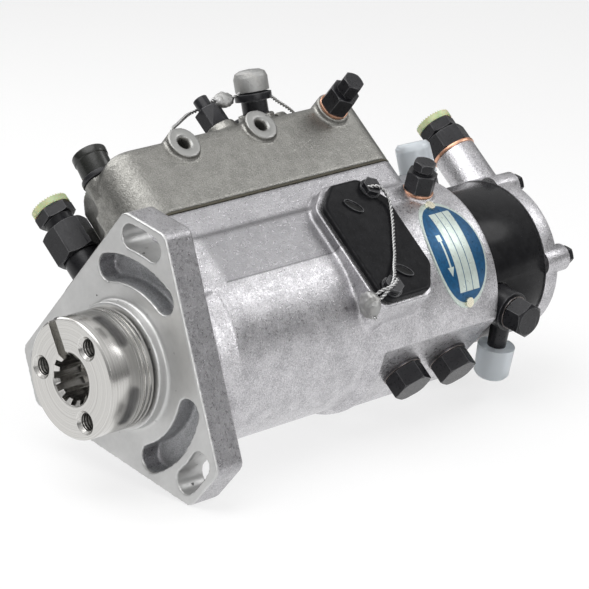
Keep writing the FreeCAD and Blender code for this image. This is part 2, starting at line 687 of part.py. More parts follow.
def make_carrier():
    plate = rod("carrier_plate", d.carrier_radius, d.carrier_plate, at=(0, d.carrier_start, 0))
    step = 360.0 / WEIGHTS
    pieces = [plate]
    lug_at = d.weight_width / 2 + d.seat_gap
    for index in range(WEIGHTS):
        turn = Rotation(Vector(0, 1, 0), index * step)
        for side in (-1, 1):
            low = lug_at if side > 0 else -lug_at - 1.8
            lug = block("carrier_lug", (low, d.carrier_start + 1, d.sleeve_collar + 0.6),
                        (low + 1.8, d.weight_pivot_y + 4, d.carrier_radius - 2.5))
            pieces.append(set_about_axis(lug, turn))
        pin = rod("carrier_pin", 1.5, 2 * lug_at + 3.6,
                  at=(-lug_at - 1.8, d.weight_pivot_y, d.weight_pivot_radius), turn="+X")
        pieces.append(set_about_axis(pin, turn))
    body = fuse("carrier", pieces)
    bore = rod("carrier_bore", d.shaft_radius, 20, at=(0, d.carrier_start - 1, 0))
    return node(cut("weight_carrier", body, [bore]), "weight_carrier")


def set_about_axis(thing, turn):
    """Turns an already placed object about the drive axis, its position still from the sheet."""
    base = thing.Placement.Base
    texts = {path: text for path, text in thing.ExpressionEngine}
    x_text = texts[".Placement.Base.x"]
    z_text = texts[".Placement.Base.z"]
    angle = turn.Angle if turn.Axis.y >= 0 else -turn.Angle
    cosine_value = math.cos(angle)
    sine_value = math.sin(angle)
    thing.Placement = Placement(turn.multVec(base), turn.multiply(thing.Placement.Rotation))
    thing.setExpression("Placement.Base.x", "(%s) * %.9f + (%s) * %.9f"
                        % (x_text, cosine_value, z_text, sine_value))
    thing.setExpression("Placement.Base.z", "(%s) * %.9f - (%s) * %.9f"
                        % (z_text, cosine_value, x_text, sine_value))
    return thing


def make_governor():
    make_carrier()
    for index in range(WEIGHTS):
        make_weight(index)
    front = d.sleeve_front
    length = d.sleeve_length
    bore = d.shaft_radius + d.running_gap
    sleeve = turned("sleeve", [
        (bore, 0), (d.sleeve_collar, 0), (d.sleeve_collar, 2.4), (d.sleeve_radius, 2.4),
        (d.sleeve_radius, length - 2), (d.sleeve_collar, length - 2), (d.sleeve_collar, length),
        (bore, length)])
    node(put(sleeve, (0, front, 0), "+Y"), "thrust_sleeve")

    arm_y = front + length + d.seat_gap
    pin_y = arm_y + d.arm_thickness / 2
    arm = extruded("arm", "XZ_Plane", [
        (-d.arm_half_width, -4), (-d.shaft_radius - 1.5, -4), (-d.shaft_radius - 1.5, 13),
        (d.shaft_radius + 1.5, 13), (d.shaft_radius + 1.5, -4), (d.arm_half_width, -4),
        (d.arm_half_width, d.arm_pivot_z + 4), (d.link_x + 2, d.arm_top - 2),
        (d.link_x + 2, d.arm_top + 2.5), (-d.link_x - 3, d.arm_top + 2.5),
        (-d.link_x - 3, d.arm_top - 2), (-d.arm_half_width, d.arm_pivot_z + 4)],
        d.arm_thickness, reverse=True)
    rounded(arm, 0.9, lambda edge: runs_along(edge, "Y"))
    put(arm, (0, arm_y, 0), "+Z")
    hinge = rod("arm_hinge", 3.2, 2 * d.arm_half_width,
                at=(-d.arm_half_width, pin_y, d.arm_pivot_z), turn="+X")
    link_pin = rod("link_pin", 1.4, 7, at=(d.link_x - 1, pin_y, d.arm_top), turn="+X")
    body = fuse("arm_body", [arm, hinge, link_pin])
    bore = rod("arm_bore", 1.6 + d.running_gap, 2 * d.arm_half_width + 2,
               at=(-d.arm_half_width - 1, pin_y, d.arm_pivot_z), turn="+X")
    node(cut("governor_arm", body, [bore]), "governor_arm")

    ear_at = d.arm_half_width + d.seat_gap
    deck = d.deck_top
    window = 14
    bridge = block("bracket_bridge", (-d.stud_x - 3.6, d.stud_y - 10, deck),
                   (d.stud_x + 3.6, d.stud_y + 12, deck + 2))
    hole = block("bracket_window", (-window, d.stud_y - 7, deck - 1), (window, d.stud_y + 9, deck + 3))
    pieces = [cut("bracket_plate", bridge, [hole])]
    for side in (-1, 1):
        low = ear_at if side > 0 else -ear_at - 2
        pieces.append(block("bracket_ear", (low, d.stud_y - 8, d.arm_pivot_z - 4),
                            (low + 2, d.stud_y + 10, deck + 2)))
    pieces.append(rod("arm_pin", 1.6, 2 * ear_at + 4, at=(-ear_at - 2, pin_y, d.arm_pivot_z), turn="+X"))
    bracket = fuse("bracket", pieces)
    holes = [rod("bracket_hole", d.stud_radius, 6, at=(side * d.stud_x, d.stud_y, deck - 2), turn="+Z")
             for side in (-1, 1)]
    node(cut("governor_bracket", bracket, holes), "governor_bracket")

    eye_z = d.arm_top
    lever_z = d.valve_top + 0.6
    rod_x = d.link_x + 3.2
    front_eye = tube("front_eye", 3, 1.4 + d.seat_gap, 2, at=(rod_x - 1, pin_y, eye_z), turn="+X")
    peg_x = d.link_x * cosine(d.valve_rest / 2)
    peg_y = d.valve_y + d.link_x * sine(d.valve_rest)
    rear_eye = tube("rear_eye", 3, 1.4 + d.seat_gap, 2, at=(peg_x, peg_y, lever_z + 2.6), turn="+Z")
    run = doc.addObject("Part::Feature", "link_run")
    start = Vector(rod_x.value, pin_y.value + 2.4, eye_z.value)
    end = Vector(peg_x.value, peg_y.value - 2.4, lever_z.value + 3.6)
    run.Shape = Part.makeCylinder(1.0, (end - start).Length, start, end - start)
    node(fuse("linkage", [front_eye, rear_eye, run]), "linkage_rod")

    stem = rod("valve_stem", d.valve_radius, d.valve_top - 14, at=(0, 0, 14), turn="+Z")
    lever = extruded("valve_lever", "XY_Plane", [
        (-4, -4), (4, -4), (d.link_x + 2.6, -2.2), (d.link_x + 2.6, 2.2), (4, 4), (-4, 4)], 2)
    put(lever, (0, 0, lever_z), "+Z")
    peg = rod("valve_peg", 1.4, 5.5, at=(d.link_x, 0, lever_z), turn="+Z")
    post = rod("valve_post", 2.4, 3, at=(0, 0, d.valve_top - 1), turn="+Z")
    valve = fuse("valve", [stem, lever, peg, post])
    node(put(valve, (0, d.valve_y, 0), Rotation(Vector(0, 0, 1), d.valve_rest.value)),
         "metering_valve")


# Head, cam ring and rotor

def end_screw_angles():
    """Two pairs of screws, set alike about the middle plane."""
    first = d.end_screw_turn
    return [first, 180 - first, 180 + first, 360 - first]


def make_head():
    block_body = rod("head_block", d.head_radius, d.head_end - d.head_start, at=(0, d.head_start, 0))
    tools = [rod("head_bore", d.rotor_radius + d.running_gap, d.head_end - d.head_start + 2,
                 at=(0, d.head_start - 1, 0)),
             rod("valve_bore", d.valve_radius + d.running_gap, d.head_radius,
                 at=(0, d.valve_y, 13), turn="+Z"),
             tube("head_groove", d.head_radius + 1, d.head_radius - 1.6, 3, at=(0, 154, 0))]
    for index in range(OUTLETS):
        angle = d.outlet_turn + 120 * index
        tools.append(rod("spot_face", d.eye_radius + 0.5, 20,
                         at=polar(d.outlet_seat, angle, d.outlet_y), turn=about_y(angle)))
        tools.append(rod("outlet_bore", 4.5, 20,
                         at=polar(d.outlet_seat - 16, angle, d.outlet_y), turn=about_y(angle)))
    tools.append(rod("locating_hole", 4, 6, at=(0, d.lock_screw_y, -d.head_radius - 1), turn="+Z"))
    tools.append(rod("vent_hole", 4, 8, at=polar(d.head_radius - 5, d.fitting_turn, d.fitting_y),
                     turn=about_y(d.fitting_turn)))
    for angle in end_screw_angles():
        tools.append(rod("end_thread", d.end_screw_radius, d.end_screw_grip + 1,
                         at=polar(d.end_screw_circle, angle, d.head_end - d.end_screw_grip)))
    return node(cut("head", block_body, tools), "hydraulic_head")


def make_cam_ring():
    outer = d.head_radius - d.running_gap
    ring = tube("cam_blank", outer, d.cam_base_radius, d.cam_width, at=(0, d.cam_start, 0))
    centre = d.cam_base_radius - d.lobe_height + d.lobe_radius
    lobes = [rod("cam_lobe", d.lobe_radius, d.cam_width,
                 at=polar(centre, 360.0 * index / CAM_LOBES, d.cam_start))
             for index in range(CAM_LOBES)]
    limit = rod("cam_limit", outer, d.cam_width, at=(0, d.cam_start, 0))
    body = overlap("cam_body", [fuse("cam_solid", [ring] + lobes), limit])
    screw_hole = rod("cam_screw_hole", 4, 5, at=(0, d.cam_screw_y, -outer - 1), turn="+Z")
    return node(cut("cam_ring", body, [screw_hole]), "cam_ring")


ROLLER_TURN = 15.0
ROLLER_GAP = 0.2


def make_rotor():
    front = d.plate_front
    rear = front + d.drive_plate_width
    head_length = d.cam_start + d.cam_width - rear - 0.4
    pieces = [rod("rotor_head", d.rotor_head_radius, head_length, at=(0, rear, 0)),
              rod("rotor_stem", d.rotor_radius, d.head_end - rear, at=(0, rear, 0))]
    bore = rod("plunger_bore", d.plunger_radius + d.running_gap, 2 * d.rotor_head_radius + 4,
               at=(-(d.rotor_head_radius + 2) * cosine(ROLLER_TURN), d.cam_start + d.cam_width / 2,
                   -(d.rotor_head_radius + 2) * sine(ROLLER_TURN)), turn=about_y(ROLLER_TURN))
    spigot = rod("spigot_hole", 4, 8, at=(0, d.head_end - 7, 0))
    node(cut("rotor", fuse("rotor_body", pieces), [bore, spigot]), "rotor")
    roller_at = d.cam_base_radius - d.roller_radius - ROLLER_GAP
    middle = d.cam_start + d.cam_width / 2
    for index in range(2):
        angle = ROLLER_TURN + 180 * index
        turn = about_y(angle)
        name = "_%d" % (index + 1)
        node(rod("roller", d.roller_radius, d.roller_length,
                 at=polar(roller_at, angle, middle - d.roller_length / 2)), "cam_roller" + name)
        inner = d.rotor_head_radius + d.lobe_height + 0.3
        shoe = primitive("Box", "shoe", ORIGIN, "+Z", Length=10, Width=d.roller_length,
                         Height=roller_at + 0.8 - inner)
        put(shoe, (-5, -(d.roller_length / 2), inner), "+Z")
        seat = rod("shoe_seat", d.roller_radius + d.running_gap, d.roller_length + 2,
                   at=(0, -d.roller_length / 2 - 1, roller_at), turn="+Y")
        shoe = put(cut("roller_shoe", shoe, [seat]), (0, middle, 0), turn)
        node(shoe, "roller_shoe" + name)
        node(rod("plunger", d.plunger_radius, inner - 2.6, at=polar(2.6, angle, middle), turn=turn),
             "plunger" + name)


def make_transfer_pump():
    start = d.head_end
    shell = rod("liner_shell", d.liner_radius, d.liner_width, at=(0, start, 0))
    bore = rod("liner_bore", d.liner_bore_radius, d.liner_width + 2, at=(0, start - 1, d.liner_offset))
    node(cut("liner", shell, [bore]), "transfer_liner")
    floor = start + 0.1 + d.rotor_floor
    disc = rod("transfer_disc", d.transfer_radius, d.liner_width - 0.3, at=(0, start + 0.1, 0))
    spigot = rod("transfer_spigot", 4, 6, at=(0, start - 5, 0))
    half = d.blade_thickness / 2 + d.running_gap
    slots = []
    for angle in (45, -45):
        slot = block("blade_slot", (-20, floor, -half), (20, start + d.liner_width + 1, half))
        slots.append(set_about_axis(slot, Rotation(Vector(0, 1, 0), angle)))
    node(cut("transfer_rotor", fuse("transfer_body", [disc, spigot]), slots), "transfer_rotor")
    front = floor + 0.1
    rear = start + d.liner_width - 0.3
    middle = (front + rear) / 2
    half = d.blade_thickness / 2
    gap = half + d.blade_travel + 0.2
    reach = d.blade_half_length
    for index, angle in enumerate((45, -45)):
        blade = block("blade_bar", (-reach, front, -half), (reach, rear, half))
        if index == 0:
            notch = block("blade_notch", (-gap, middle - 0.1, -half - 1), (gap, rear + 1, half + 1))
        else:
            notch = block("blade_notch", (-gap, front - 1, -half - 1), (gap, middle + 0.1, half + 1))
        blade = put(cut("blade", blade, [notch]), ORIGIN, Rotation(Vector(0, 1, 0), angle))
        node(blade, "transfer_blade_%d" % (index + 1))


# Governor cover and what it carries

def leakoff_spot(along):
    """A point on the leaning axis of the leak off connector, measured from its seat."""
    return (d.leakoff_x, d.leakoff_y + along * sine(d.leakoff_lean),
            d.leakoff_seat + along * cosine(d.leakoff_lean))


def make_cover():
    seat = d.deck_top + d.gasket_thickness
    half = d.deck_half_width

    def outline(margin):
        return [(-half + margin, d.cover_front + margin), (half - margin, d.cover_front + margin),
                (half - margin, d.deck_end - margin), (-half + margin, d.deck_end - margin)]

    def corners(front, rear):
        def test(edge):
            return runs_along(edge, "Z") and (edge.Vertexes[0].Point.y < 60) == front
        return test

    shell = extruded("cover_shell", "XY_Plane", outline(0), d.cover_top - seat)
    rounded(shell, d.cover_corner, corners(True, False))
    rounded(shell, d.deck_round, corners(False, True))
    rounded(shell, d.cover_edge, lambda edge: min(v.Point.z for v in edge.Vertexes)
            > (d.cover_top - seat).value - 0.01)
    put(shell, (0, 0, seat), "+Z")
    nose = block("cover_nose", (-half - 1, d.cover_front - 1, d.cover_top - d.cover_nose),
                 (half + 1, d.cover_front + d.cover_nose, d.cover_top + 1))
    nose = cut("cover_nose_tool", nose, [rod("cover_nose_round", d.cover_nose, 2 * half + 4,
                                             at=(-half - 2, d.cover_front + d.cover_nose,
                                                 d.cover_top - d.cover_nose), turn="+X")])
    shell = cut("cover_domed", shell, [nose])
    hollow = extruded("cover_hollow", "XY_Plane", outline(d.cover_wall),
                      d.cover_top - seat - d.cover_wall + 1)
    rounded(hollow, d.cover_corner - d.cover_wall, corners(True, False))
    put(hollow, (0, 0, seat - 1), "+Z")

    def low_corner(grow):
        return [(d.shelf_near_x + grow * 1.6, d.cover_front - 2),
                (d.shelf_edge_x + grow, d.shelf_edge_y + grow * 0.7),
                (d.shelf_edge_x - 6 + grow, d.shelf_end + grow), (-half - 1, d.shelf_end + grow),
                (-half - 1, d.cover_front - 2)]

    shelf = extruded("shelf", "XY_Plane", low_corner(size_of(0)), 20)
    put(shelf, (0, 0, d.shelf_top), "+Z")
    backing = extruded("shelf_backing", "XY_Plane", low_corner(d.shelf_wall),
                       d.cover_top - d.shelf_top + d.cover_wall - 2)
    put(backing, (0, 0, d.shelf_top - d.cover_wall), "+Z")
    core = extruded("shelf_core", "XY_Plane", outline(2.5), d.cover_top - seat)
    rounded(core, d.cover_corner - 2.5, corners(True, False))
    put(core, (0, 0, seat), "+Z")
    backing = overlap("shelf_back", [backing, core])
    pieces = [cut("cover_skin", shell, [hollow]), backing]
    boss_start = half - 14
    for boss_y in (d.boss_first, d.boss_second, d.vent_y):
        pieces.append(rod("side_boss", d.boss_radius, d.boss_face - boss_start,
                          at=(boss_start, boss_y, d.boss_height), turn="+X"))
    pieces.append(cone("idle_boss", 8, 6.6, d.idle_seat - d.cover_top + 5,
                       at=(d.idle_x, d.idle_y, d.cover_top - 5), turn="+Z"))
    stop_turn = Rotation(Vector(0, 1, 0), d.stop_tilt.value)
    stop_boss = rod("stop_boss", 7.2, 12, turn="+Z")
    put(stop_boss, (d.stop_x - 11 * sine(d.stop_tilt), d.stop_y,
                    d.stop_seat - 11 * cosine(d.stop_tilt)), stop_turn)
    bind(stop_boss, "Height", 11)
    pieces.append(stop_boss)
    lean = Rotation(Vector(1, 0, 0), -d.leakoff_lean.value)
    pieces.append(rod("leakoff_boss", 7.2, 9, at=leakoff_spot(-9), turn=lean))
    pieces.append(rod("adaptor_boss", 9.5, 6, at=(d.adaptor_x, d.adaptor_y, d.shelf_top - 4.5), turn="+Z"))
    for spindle_x, spindle_y in ((d.throttle_x, d.throttle_y), (d.shutoff_x, d.shutoff_y)):
        pieces.append(rod("spindle_boss", d.spindle_radius + 4, d.cover_wall + 6,
                          at=(spindle_x, spindle_y, d.cover_top - d.cover_wall - 3), turn="+Z"))
    for side_sign in (-1, 1):
        pieces.append(rod("stud_tower", d.stud_head_radius + 2, d.cover_top - seat - 2.5,
                          at=(side_sign * d.stud_x, d.stud_y, d.deck_top + 2.5), turn="+Z"))
    lug = extruded("seal_lug", "XZ_Plane", [(-4, -2), (4, -2), (1.5, 4.5), (-1.5, 4.5)], 5)
    pieces.append(put(lug, (d.deck_half_width - 9, d.boss_second + 25, d.cover_top), "+Z"))
    body = fuse("cover_casting", pieces)
    tools = [shelf]
    for boss_y in (d.boss_first, d.boss_second):
        tools.append(rod("boss_hole", d.boss_hole_radius, d.boss_hole_depth + 1,
                         at=(d.boss_face - d.boss_hole_depth, boss_y, d.boss_height), turn="+X"))
        tools.append(cone("boss_mouth", d.boss_hole_radius, d.boss_hole_radius + 1.0, 1.0,
                          at=(d.boss_face - 0.99, boss_y, d.boss_height), turn="+X"))
    tools.append(rod("vent_bore", 4, 14, at=(d.boss_face - 13, d.vent_y, d.boss_height), turn="+X"))
    tools.append(rod("idle_bore", 3, 30, at=(d.idle_x, d.idle_y, d.idle_seat - 16), turn="+Z"))
    stop_bore = rod("stop_bore", 3, 16, turn="+Z")
    put(stop_bore, (d.stop_x - 13 * sine(d.stop_tilt), d.stop_y,
                    d.stop_seat - 13 * cosine(d.stop_tilt)), stop_turn)
    tools.append(stop_bore)
    tools.append(rod("leakoff_bore", 3, 14, at=leakoff_spot(-13), turn=lean))
    tools.append(rod("leakoff_face", 7.6, 12, at=leakoff_spot(0), turn=lean))
    tools.append(rod("adaptor_bore", 5, 14, at=(d.adaptor_x, d.adaptor_y, d.shelf_top - 10), turn="+Z"))
    for spindle_x, spindle_y in ((d.throttle_x, d.throttle_y), (d.shutoff_x, d.shutoff_y)):
        tools.append(rod("spindle_bore", d.spindle_radius + d.running_gap, 30,
                         at=(spindle_x, spindle_y, d.cover_top - 15), turn="+Z"))
    for side_sign in (-1, 1):
        tools.append(rod("stud_bore", d.stud_radius, 60,
                         at=(side_sign * d.stud_x, d.stud_y, seat - 5), turn="+Z"))
    wells = [rod("head_well", d.stud_head_radius, 20,
                 at=(side_sign * d.stud_x, d.stud_y, d.stud_seat), turn="+Z")
             for side_sign in (-1, 1)]
    return node(cut("cover", cut("cover_bored", body, tools), wells), "governor_cover")


def make_cover_gasket():
    half = d.deck_half_width
    outer = extruded("gasket_outer", "XY_Plane", [
        (-half, d.cover_front), (half, d.cover_front), (half, d.deck_end), (-half, d.deck_end)],
        d.gasket_thickness)
    rounded(outer, d.cover_corner, lambda edge: runs_along(edge, "Z") and edge.Vertexes[0].Point.y < 60)
    rounded(outer, d.deck_round, lambda edge: runs_along(edge, "Z") and edge.Vertexes[0].Point.y > 60)
    put(outer, (0, 0, d.deck_top), "+Z")
    wall = d.cover_wall
    window = block("gasket_window", (-half + wall, d.cover_front + wall + 3, d.deck_top - 1),
                   (half - wall, d.deck_end - wall, d.deck_top + d.gasket_thickness + 1))
    GASKETS.append(cut("gasket", outer, [window]))


def make_cover_screws():
    screws = []
    for side_sign in (-1, 1):
        head = chamfered_hex("cover_screw_head", 8, d.cover_top - d.stud_seat - 0.2, 0.5)
        length = d.stud_seat - d.deck_top + 10
        shank = rod("cover_screw_shank", d.stud_radius, length, at=(0, 0, -length), turn="+Z")
        at = (side_sign * d.stud_x, d.stud_y, d.stud_seat)
        screws.append(put(fuse("cover_screw", [head, shank]), at, "+Z"))
    node(group("cover_screws", screws), "cover_screws")


def make_spindles():
    """Throttle and shut off shafts, each with a crank inside the cover and a nut on top."""
    crank_z = d.cover_top - d.cover_wall - 6.4
    spots = ((d.throttle_x, d.throttle_y, "throttle_shaft", -1),
             (d.shutoff_x, d.shutoff_y, "shutoff_shaft", 1))
    for spindle_x, spindle_y, label, way in spots:
        stem = rod("spindle", d.spindle_radius, d.spindle_top - 6 - crank_z,
                   at=(spindle_x, spindle_y, crank_z), turn="+Z")
        tip = rod("spindle_tip", 3, d.spindle_top - crank_z - 4, at=(spindle_x, spindle_y, crank_z), turn="+Z")
        nut = hexagon("spindle_nut", 10, 4.5, at=(spindle_x, spindle_y, d.spindle_top - 5), turn="+Z")
        crank = extruded("crank", "XY_Plane", [(-4, -5), (4, -5), (3, 5), (way * 2 + 1, 14),
                                              (way * 2 - 3, 14), (-4, 5)], 3)
        crank_turn = Rotation(Vector(0, 0, 1), 125 if way < 0 else -20)
        put(crank, (spindle_x, spindle_y, crank_z), crank_turn)
        node(fuse(label, [stem, tip, nut, crank]), label)


def make_idle_screw():
    at = (d.idle_x, d.idle_y, d.idle_seat)
    sleeve = hexagon("idle_hex", d.idle_radius * math.sqrt(3), d.idle_length, at=at, turn="+Z")
    hole = rod("idle_hex_hole", 3, d.idle_length + 4, at=(d.idle_x, d.idle_y, d.idle_seat - 2), turn="+Z")
    node(cut("idle_sleeve", sleeve, [hole]), "idle_lock_sleeve")
    stud = rod("idle_stud", 3, d.idle_length + 17.5, at=(d.idle_x, d.idle_y, d.idle_seat - 12), turn="+Z")
    node(stud, "idle_screw")


def make_stop_screw():
    """Maximum speed screw: body with a flared ring, and a sealing cup, on one leaning axis."""
    turn = Rotation(Vector(0, 1, 0), d.stop_tilt.value)
    at = (d.stop_x, d.stop_y, d.stop_seat)
    stem = rod("stop_stem", 3, 12, at=(0, 0, -12), turn="+Z")
    barrel = rod("stop_barrel", d.stop_radius, 9, turn="+Z")
    ring = turned("stop_ring", [(d.stop_radius - 1, 5), (d.stop_radius + 2.2, 5.4),
                                (d.stop_radius + 2.2, 8.2), (d.stop_radius - 1, 9)])
    node(put(fuse("stop", [stem, barrel, ring]), at, turn), "stop_screw")
    cup = turned("stop_cup", [(0, 9), (d.stop_radius + 1.6, 9), (d.stop_radius + 1.6, 14.4),
                              (d.stop_radius + 0.8, 16.4), (d.stop_radius - 1.2, 17.4), (0, 17.8)])
    node(put(cup, at, turn), "stop_cup")


def make_leakoff():
    at = (d.leakoff_x, d.leakoff_y, d.leakoff_seat)
    stem = rod("leakoff_stem", 3, 7, at=(0, 0, -7), turn="+Z")
    collar = rod("leakoff_collar", 6.8, 2.6, turn="+Z")
    nose = rod("leakoff_nose", 3.6, 10, turn="+Z")
    lean = Rotation(Vector(1, 0, 0), -d.leakoff_lean.value)
    node(put(fuse("leakoff", [stem, collar, nose]), at, lean), "leakoff_connector")
    cap = turned("leakoff_cap", [(3.6, 2.6), (5.7, 2.6), (5.3, 11.4), (4.5, 12.4), (0, 12.4), (0, 10), (3.6, 10)])
    node(put(cap, at, lean), "leakoff_cap")


def chamfered_hex(name, flats, length, chamfer=0.8):
    """A hexagon whose two ends are turned down at the corners."""
    body = hexagon(name, flats, length, turn="+Z")
    reach = size_of(flats) / math.sqrt(3)
    ends = turned(name + "_ends", [
        (0, 0), (reach - chamfer, 0), (reach + 0.1, chamfer * 0.6),
        (reach + 0.1, size_of(length) - chamfer * 0.6), (reach - chamfer, length), (0, length)])
    return overlap(name, [body, ends])


def make_vent():
    turn = "+X"
    at = (d.boss_face, d.vent_y, d.boss_height)
    WASHERS.append(tube("vent_ring", 6.2, 4, d.washer_thickness, at=at, turn=turn))
    body = chamfered_hex("vent_hex", 11, 9)
    shank = rod("vent_shank", 4, 13, at=(0, 0, -13), turn="+Z")
    hole = rod("vent_hole", 2.5, 12, at=(0, 0, 0), turn="+Z")
    seat = (d.boss_face + d.washer_thickness, d.vent_y, d.boss_height)
    VENT_BODIES.append(put(cut("vent_body", fuse("vent_solid", [body, shank]), [hole]), seat, turn))
    head = chamfered_hex("vent_screw_head", 8, 6)
    put(head, (0, 0, 10), "+Z")
    stem = rod("vent_screw_stem", 2.5, 11.5, at=(0, 0, 0), turn="+Z")
    collar = rod("vent_screw_collar", 3.6, 1, at=(0, 0, 9), turn="+Z")
    VENT_SCREWS.append(put(fuse("vent_screw", [head, stem, collar]), seat, turn))


def make_adaptor():
    at = (d.adaptor_x, d.adaptor_y, d.shelf_top + 1.5)
    hexa = chamfered_hex("adaptor_hex", d.adaptor_flats, d.adaptor_length, 1.6)
    stem = rod("adaptor_stem", 5, 9, at=(0, 0, -9), turn="+Z")
    bore = rod("adaptor_bore", 4, d.adaptor_length, at=(0, 0, 4), turn="+Z")
    node(put(cut("adaptor", fuse("adaptor_solid", [hexa, stem]), [bore]), at, "+Z"), "front_adaptor")
    neck = rod("union_neck", 6, 4, at=(0, 0, d.adaptor_length), turn="+Z")
    neck2 = rod("union_stem", 4, 8, at=(0, 0, d.adaptor_length - 8), turn="+Z")
    top = put(chamfered_hex("union_hex", 14, 4.5, 0.8), (0, 0, d.adaptor_length + 4), "+Z")
    hole = rod("union_bore", 3.4, 10, at=(0, 0, d.adaptor_length + 2), turn="+Z")
    node(put(cut("union", fuse("union_solid", [neck, neck2, top]), [hole]), at, "+Z"), "front_union")
    lift = d.adaptor_length + 8.5
    disc = rod("plug_disc", 7.6, 2.6, at=(0, 0, lift), turn="+Z")
    stub = rod("plug_stub", 3.4, 6, at=(0, 0, lift - 6), turn="+Z")
    PLUGS.append(put(fuse("front_plug", [disc, stub]), at, "+Z"))


# What the housing carries

def make_inspection_cover():
    gasket = side_pad("inspection_gasket", 0, d.pad_face, d.pad_face + 0.5)
    plate = side_pad("inspection_plate", 0, d.pad_face + 0.5, d.pad_face + 0.5 + d.plate_thickness)
    middle_y = (d.plate_start + d.plate_end) / 2
    holes = []
    screws = []
    face = d.pad_face + 0.5 + d.plate_thickness
    for spot_y, spot_z in plate_screw_spots():
        holes.append(rod("plate_hole", 2.1, 12, at=(d.pad_face - 4, spot_y, spot_z), turn="+X"))
        head = hexagon("plate_screw_head", 7, 3, at=(face, spot_y, spot_z), turn="+X")
        rim = rod("plate_screw_rim", 4.4, 0.8, at=(face, spot_y, spot_z), turn="+X")
        shank = rod("plate_screw_shank", 2.1, 9.5, at=(face - 9.5, spot_y, spot_z), turn="+X")
        screws.append(fuse("plate_screw", [head, rim, shank]))
    window = rod("gasket_hole", 9, 4, at=(d.pad_face - 1, middle_y, 0), turn="+X")
    GASKETS.append(cut("inspection_gasket", gasket, holes + [window]))
    louvres = []
    for spot_y, spot_z in ((d.plate_start + 8, d.plate_high - 13), (d.plate_end - 7, d.plate_low + 10)):
        louvres.append(primitive("Ellipsoid", "louvre", (face, spot_y, spot_z), "+X",
                                 Radius1=1.4, Radius2=4.5, Radius3=2.2))
    body = fuse("inspection_body", [plate] + louvres)
    node(cut("inspection_cover", body, holes), "inspection_cover")
    node(group("inspection_screws", screws), "inspection_screws")


def make_data_plate():
    """An oval sheet bent to the barrel, with two rivets."""
    radius = d.rear_radius
    turn = about_y(d.label_turn)
    sheet_metal = tube("label_sheet", radius + d.label_thickness, radius, 2 * d.label_half_width + 2,
                       at=(0, d.label_y - d.label_half_width - 1, 0))
    spread = d.label_half_length
    oval = doc.addObject("Part::Ellipse", "label_oval")
    bind(oval, "MajorRadius", spread)
    bind(oval, "MinorRadius", d.label_half_width)
    prism = doc.addObject("Part::Extrusion", "label_prism")
    prism.Base = oval
    prism.DirMode = "Custom"
    prism.Dir = Vector(0, 0, 1)
    prism.LengthFwd = 30
    prism.Solid = True
    put(prism, polar(radius - 18, d.label_turn, d.label_y), turn)
    rivets = []
    holes = []
    for side in (-1, 1):
        angle = d.label_turn + side * d.rivet_turn
        rivets.append(rod("rivet_shank", 1.2, 6, at=polar(radius - 5, angle, d.label_y), turn=about_y(angle)))
        rivets.append(rod("rivet_head", 2.0, 1.0, at=polar(radius + d.label_thickness, angle, d.label_y),
                          turn=about_y(angle)))
        holes.append(rod("rivet_hole", 1.2, 8, at=polar(radius - 5, angle, d.label_y), turn=about_y(angle)))
    node(cut("data_plate", overlap("label_bent", [sheet_metal, prism]), holes), "data_plate")
    node(group("rivets", [fuse("rivet", rivets[0:2]), fuse("rivet", rivets[2:4])]), "plate_rivets")


def make_head_fitting():
    turn = about_y(d.fitting_turn)
    seat = d.rear_radius + d.fitting_rise
    at = polar(seat, d.fitting_turn, d.fitting_y)
    WASHERS.append(tube("fitting_ring", 6.2, 4, d.washer_thickness, at=at, turn=turn))
    up = polar(seat + d.washer_thickness, d.fitting_turn, d.fitting_y)
    body = chamfered_hex("fitting_hex", d.fitting_flats, 8)
    shank = rod("fitting_shank", 4, 13, at=(0, 0, -13), turn="+Z")
    hole = rod("fitting_bore", 2.5, 14, at=(0, 0, 0), turn="+Z")
    VENT_BODIES.append(put(cut("fitting", fuse("fitting_solid", [body, shank]), [hole]), up, turn))
    neck = rod("bleed_neck", 2.5, 10, at=(0, 0, 0), turn="+Z")
    neck2 = rod("bleed_collar", 3.8, 1, at=(0, 0, 8), turn="+Z")
    top = put(chamfered_hex("bleed_head", 8, 3.6), (0, 0, 9), "+Z")
    VENT_SCREWS.append(put(fuse("bleed", [neck, neck2, top]), up, turn))


def make_bottom_screws():
    screws = []
    for screw_y in (d.cam_screw_y, d.lock_screw_y):
        at = (0, screw_y, -d.flat_height)
        WASHERS.append(tube("bottom_washer", 8.4, 4, 1.2, at=at, turn="-Z"))
        head = chamfered_hex("bottom_head", d.screw_flats, 8)
        shank = rod("bottom_shank", 4, 9, at=(0, 0, -9), turn="+Z")
        screw = fuse("bottom_screw", [head, shank])
        screws.append(put(screw, (0, screw_y, -d.flat_height - 1.2), "-Z"))
    node(group("bottom_screws", screws), "bottom_screws")


# Delivery outlets

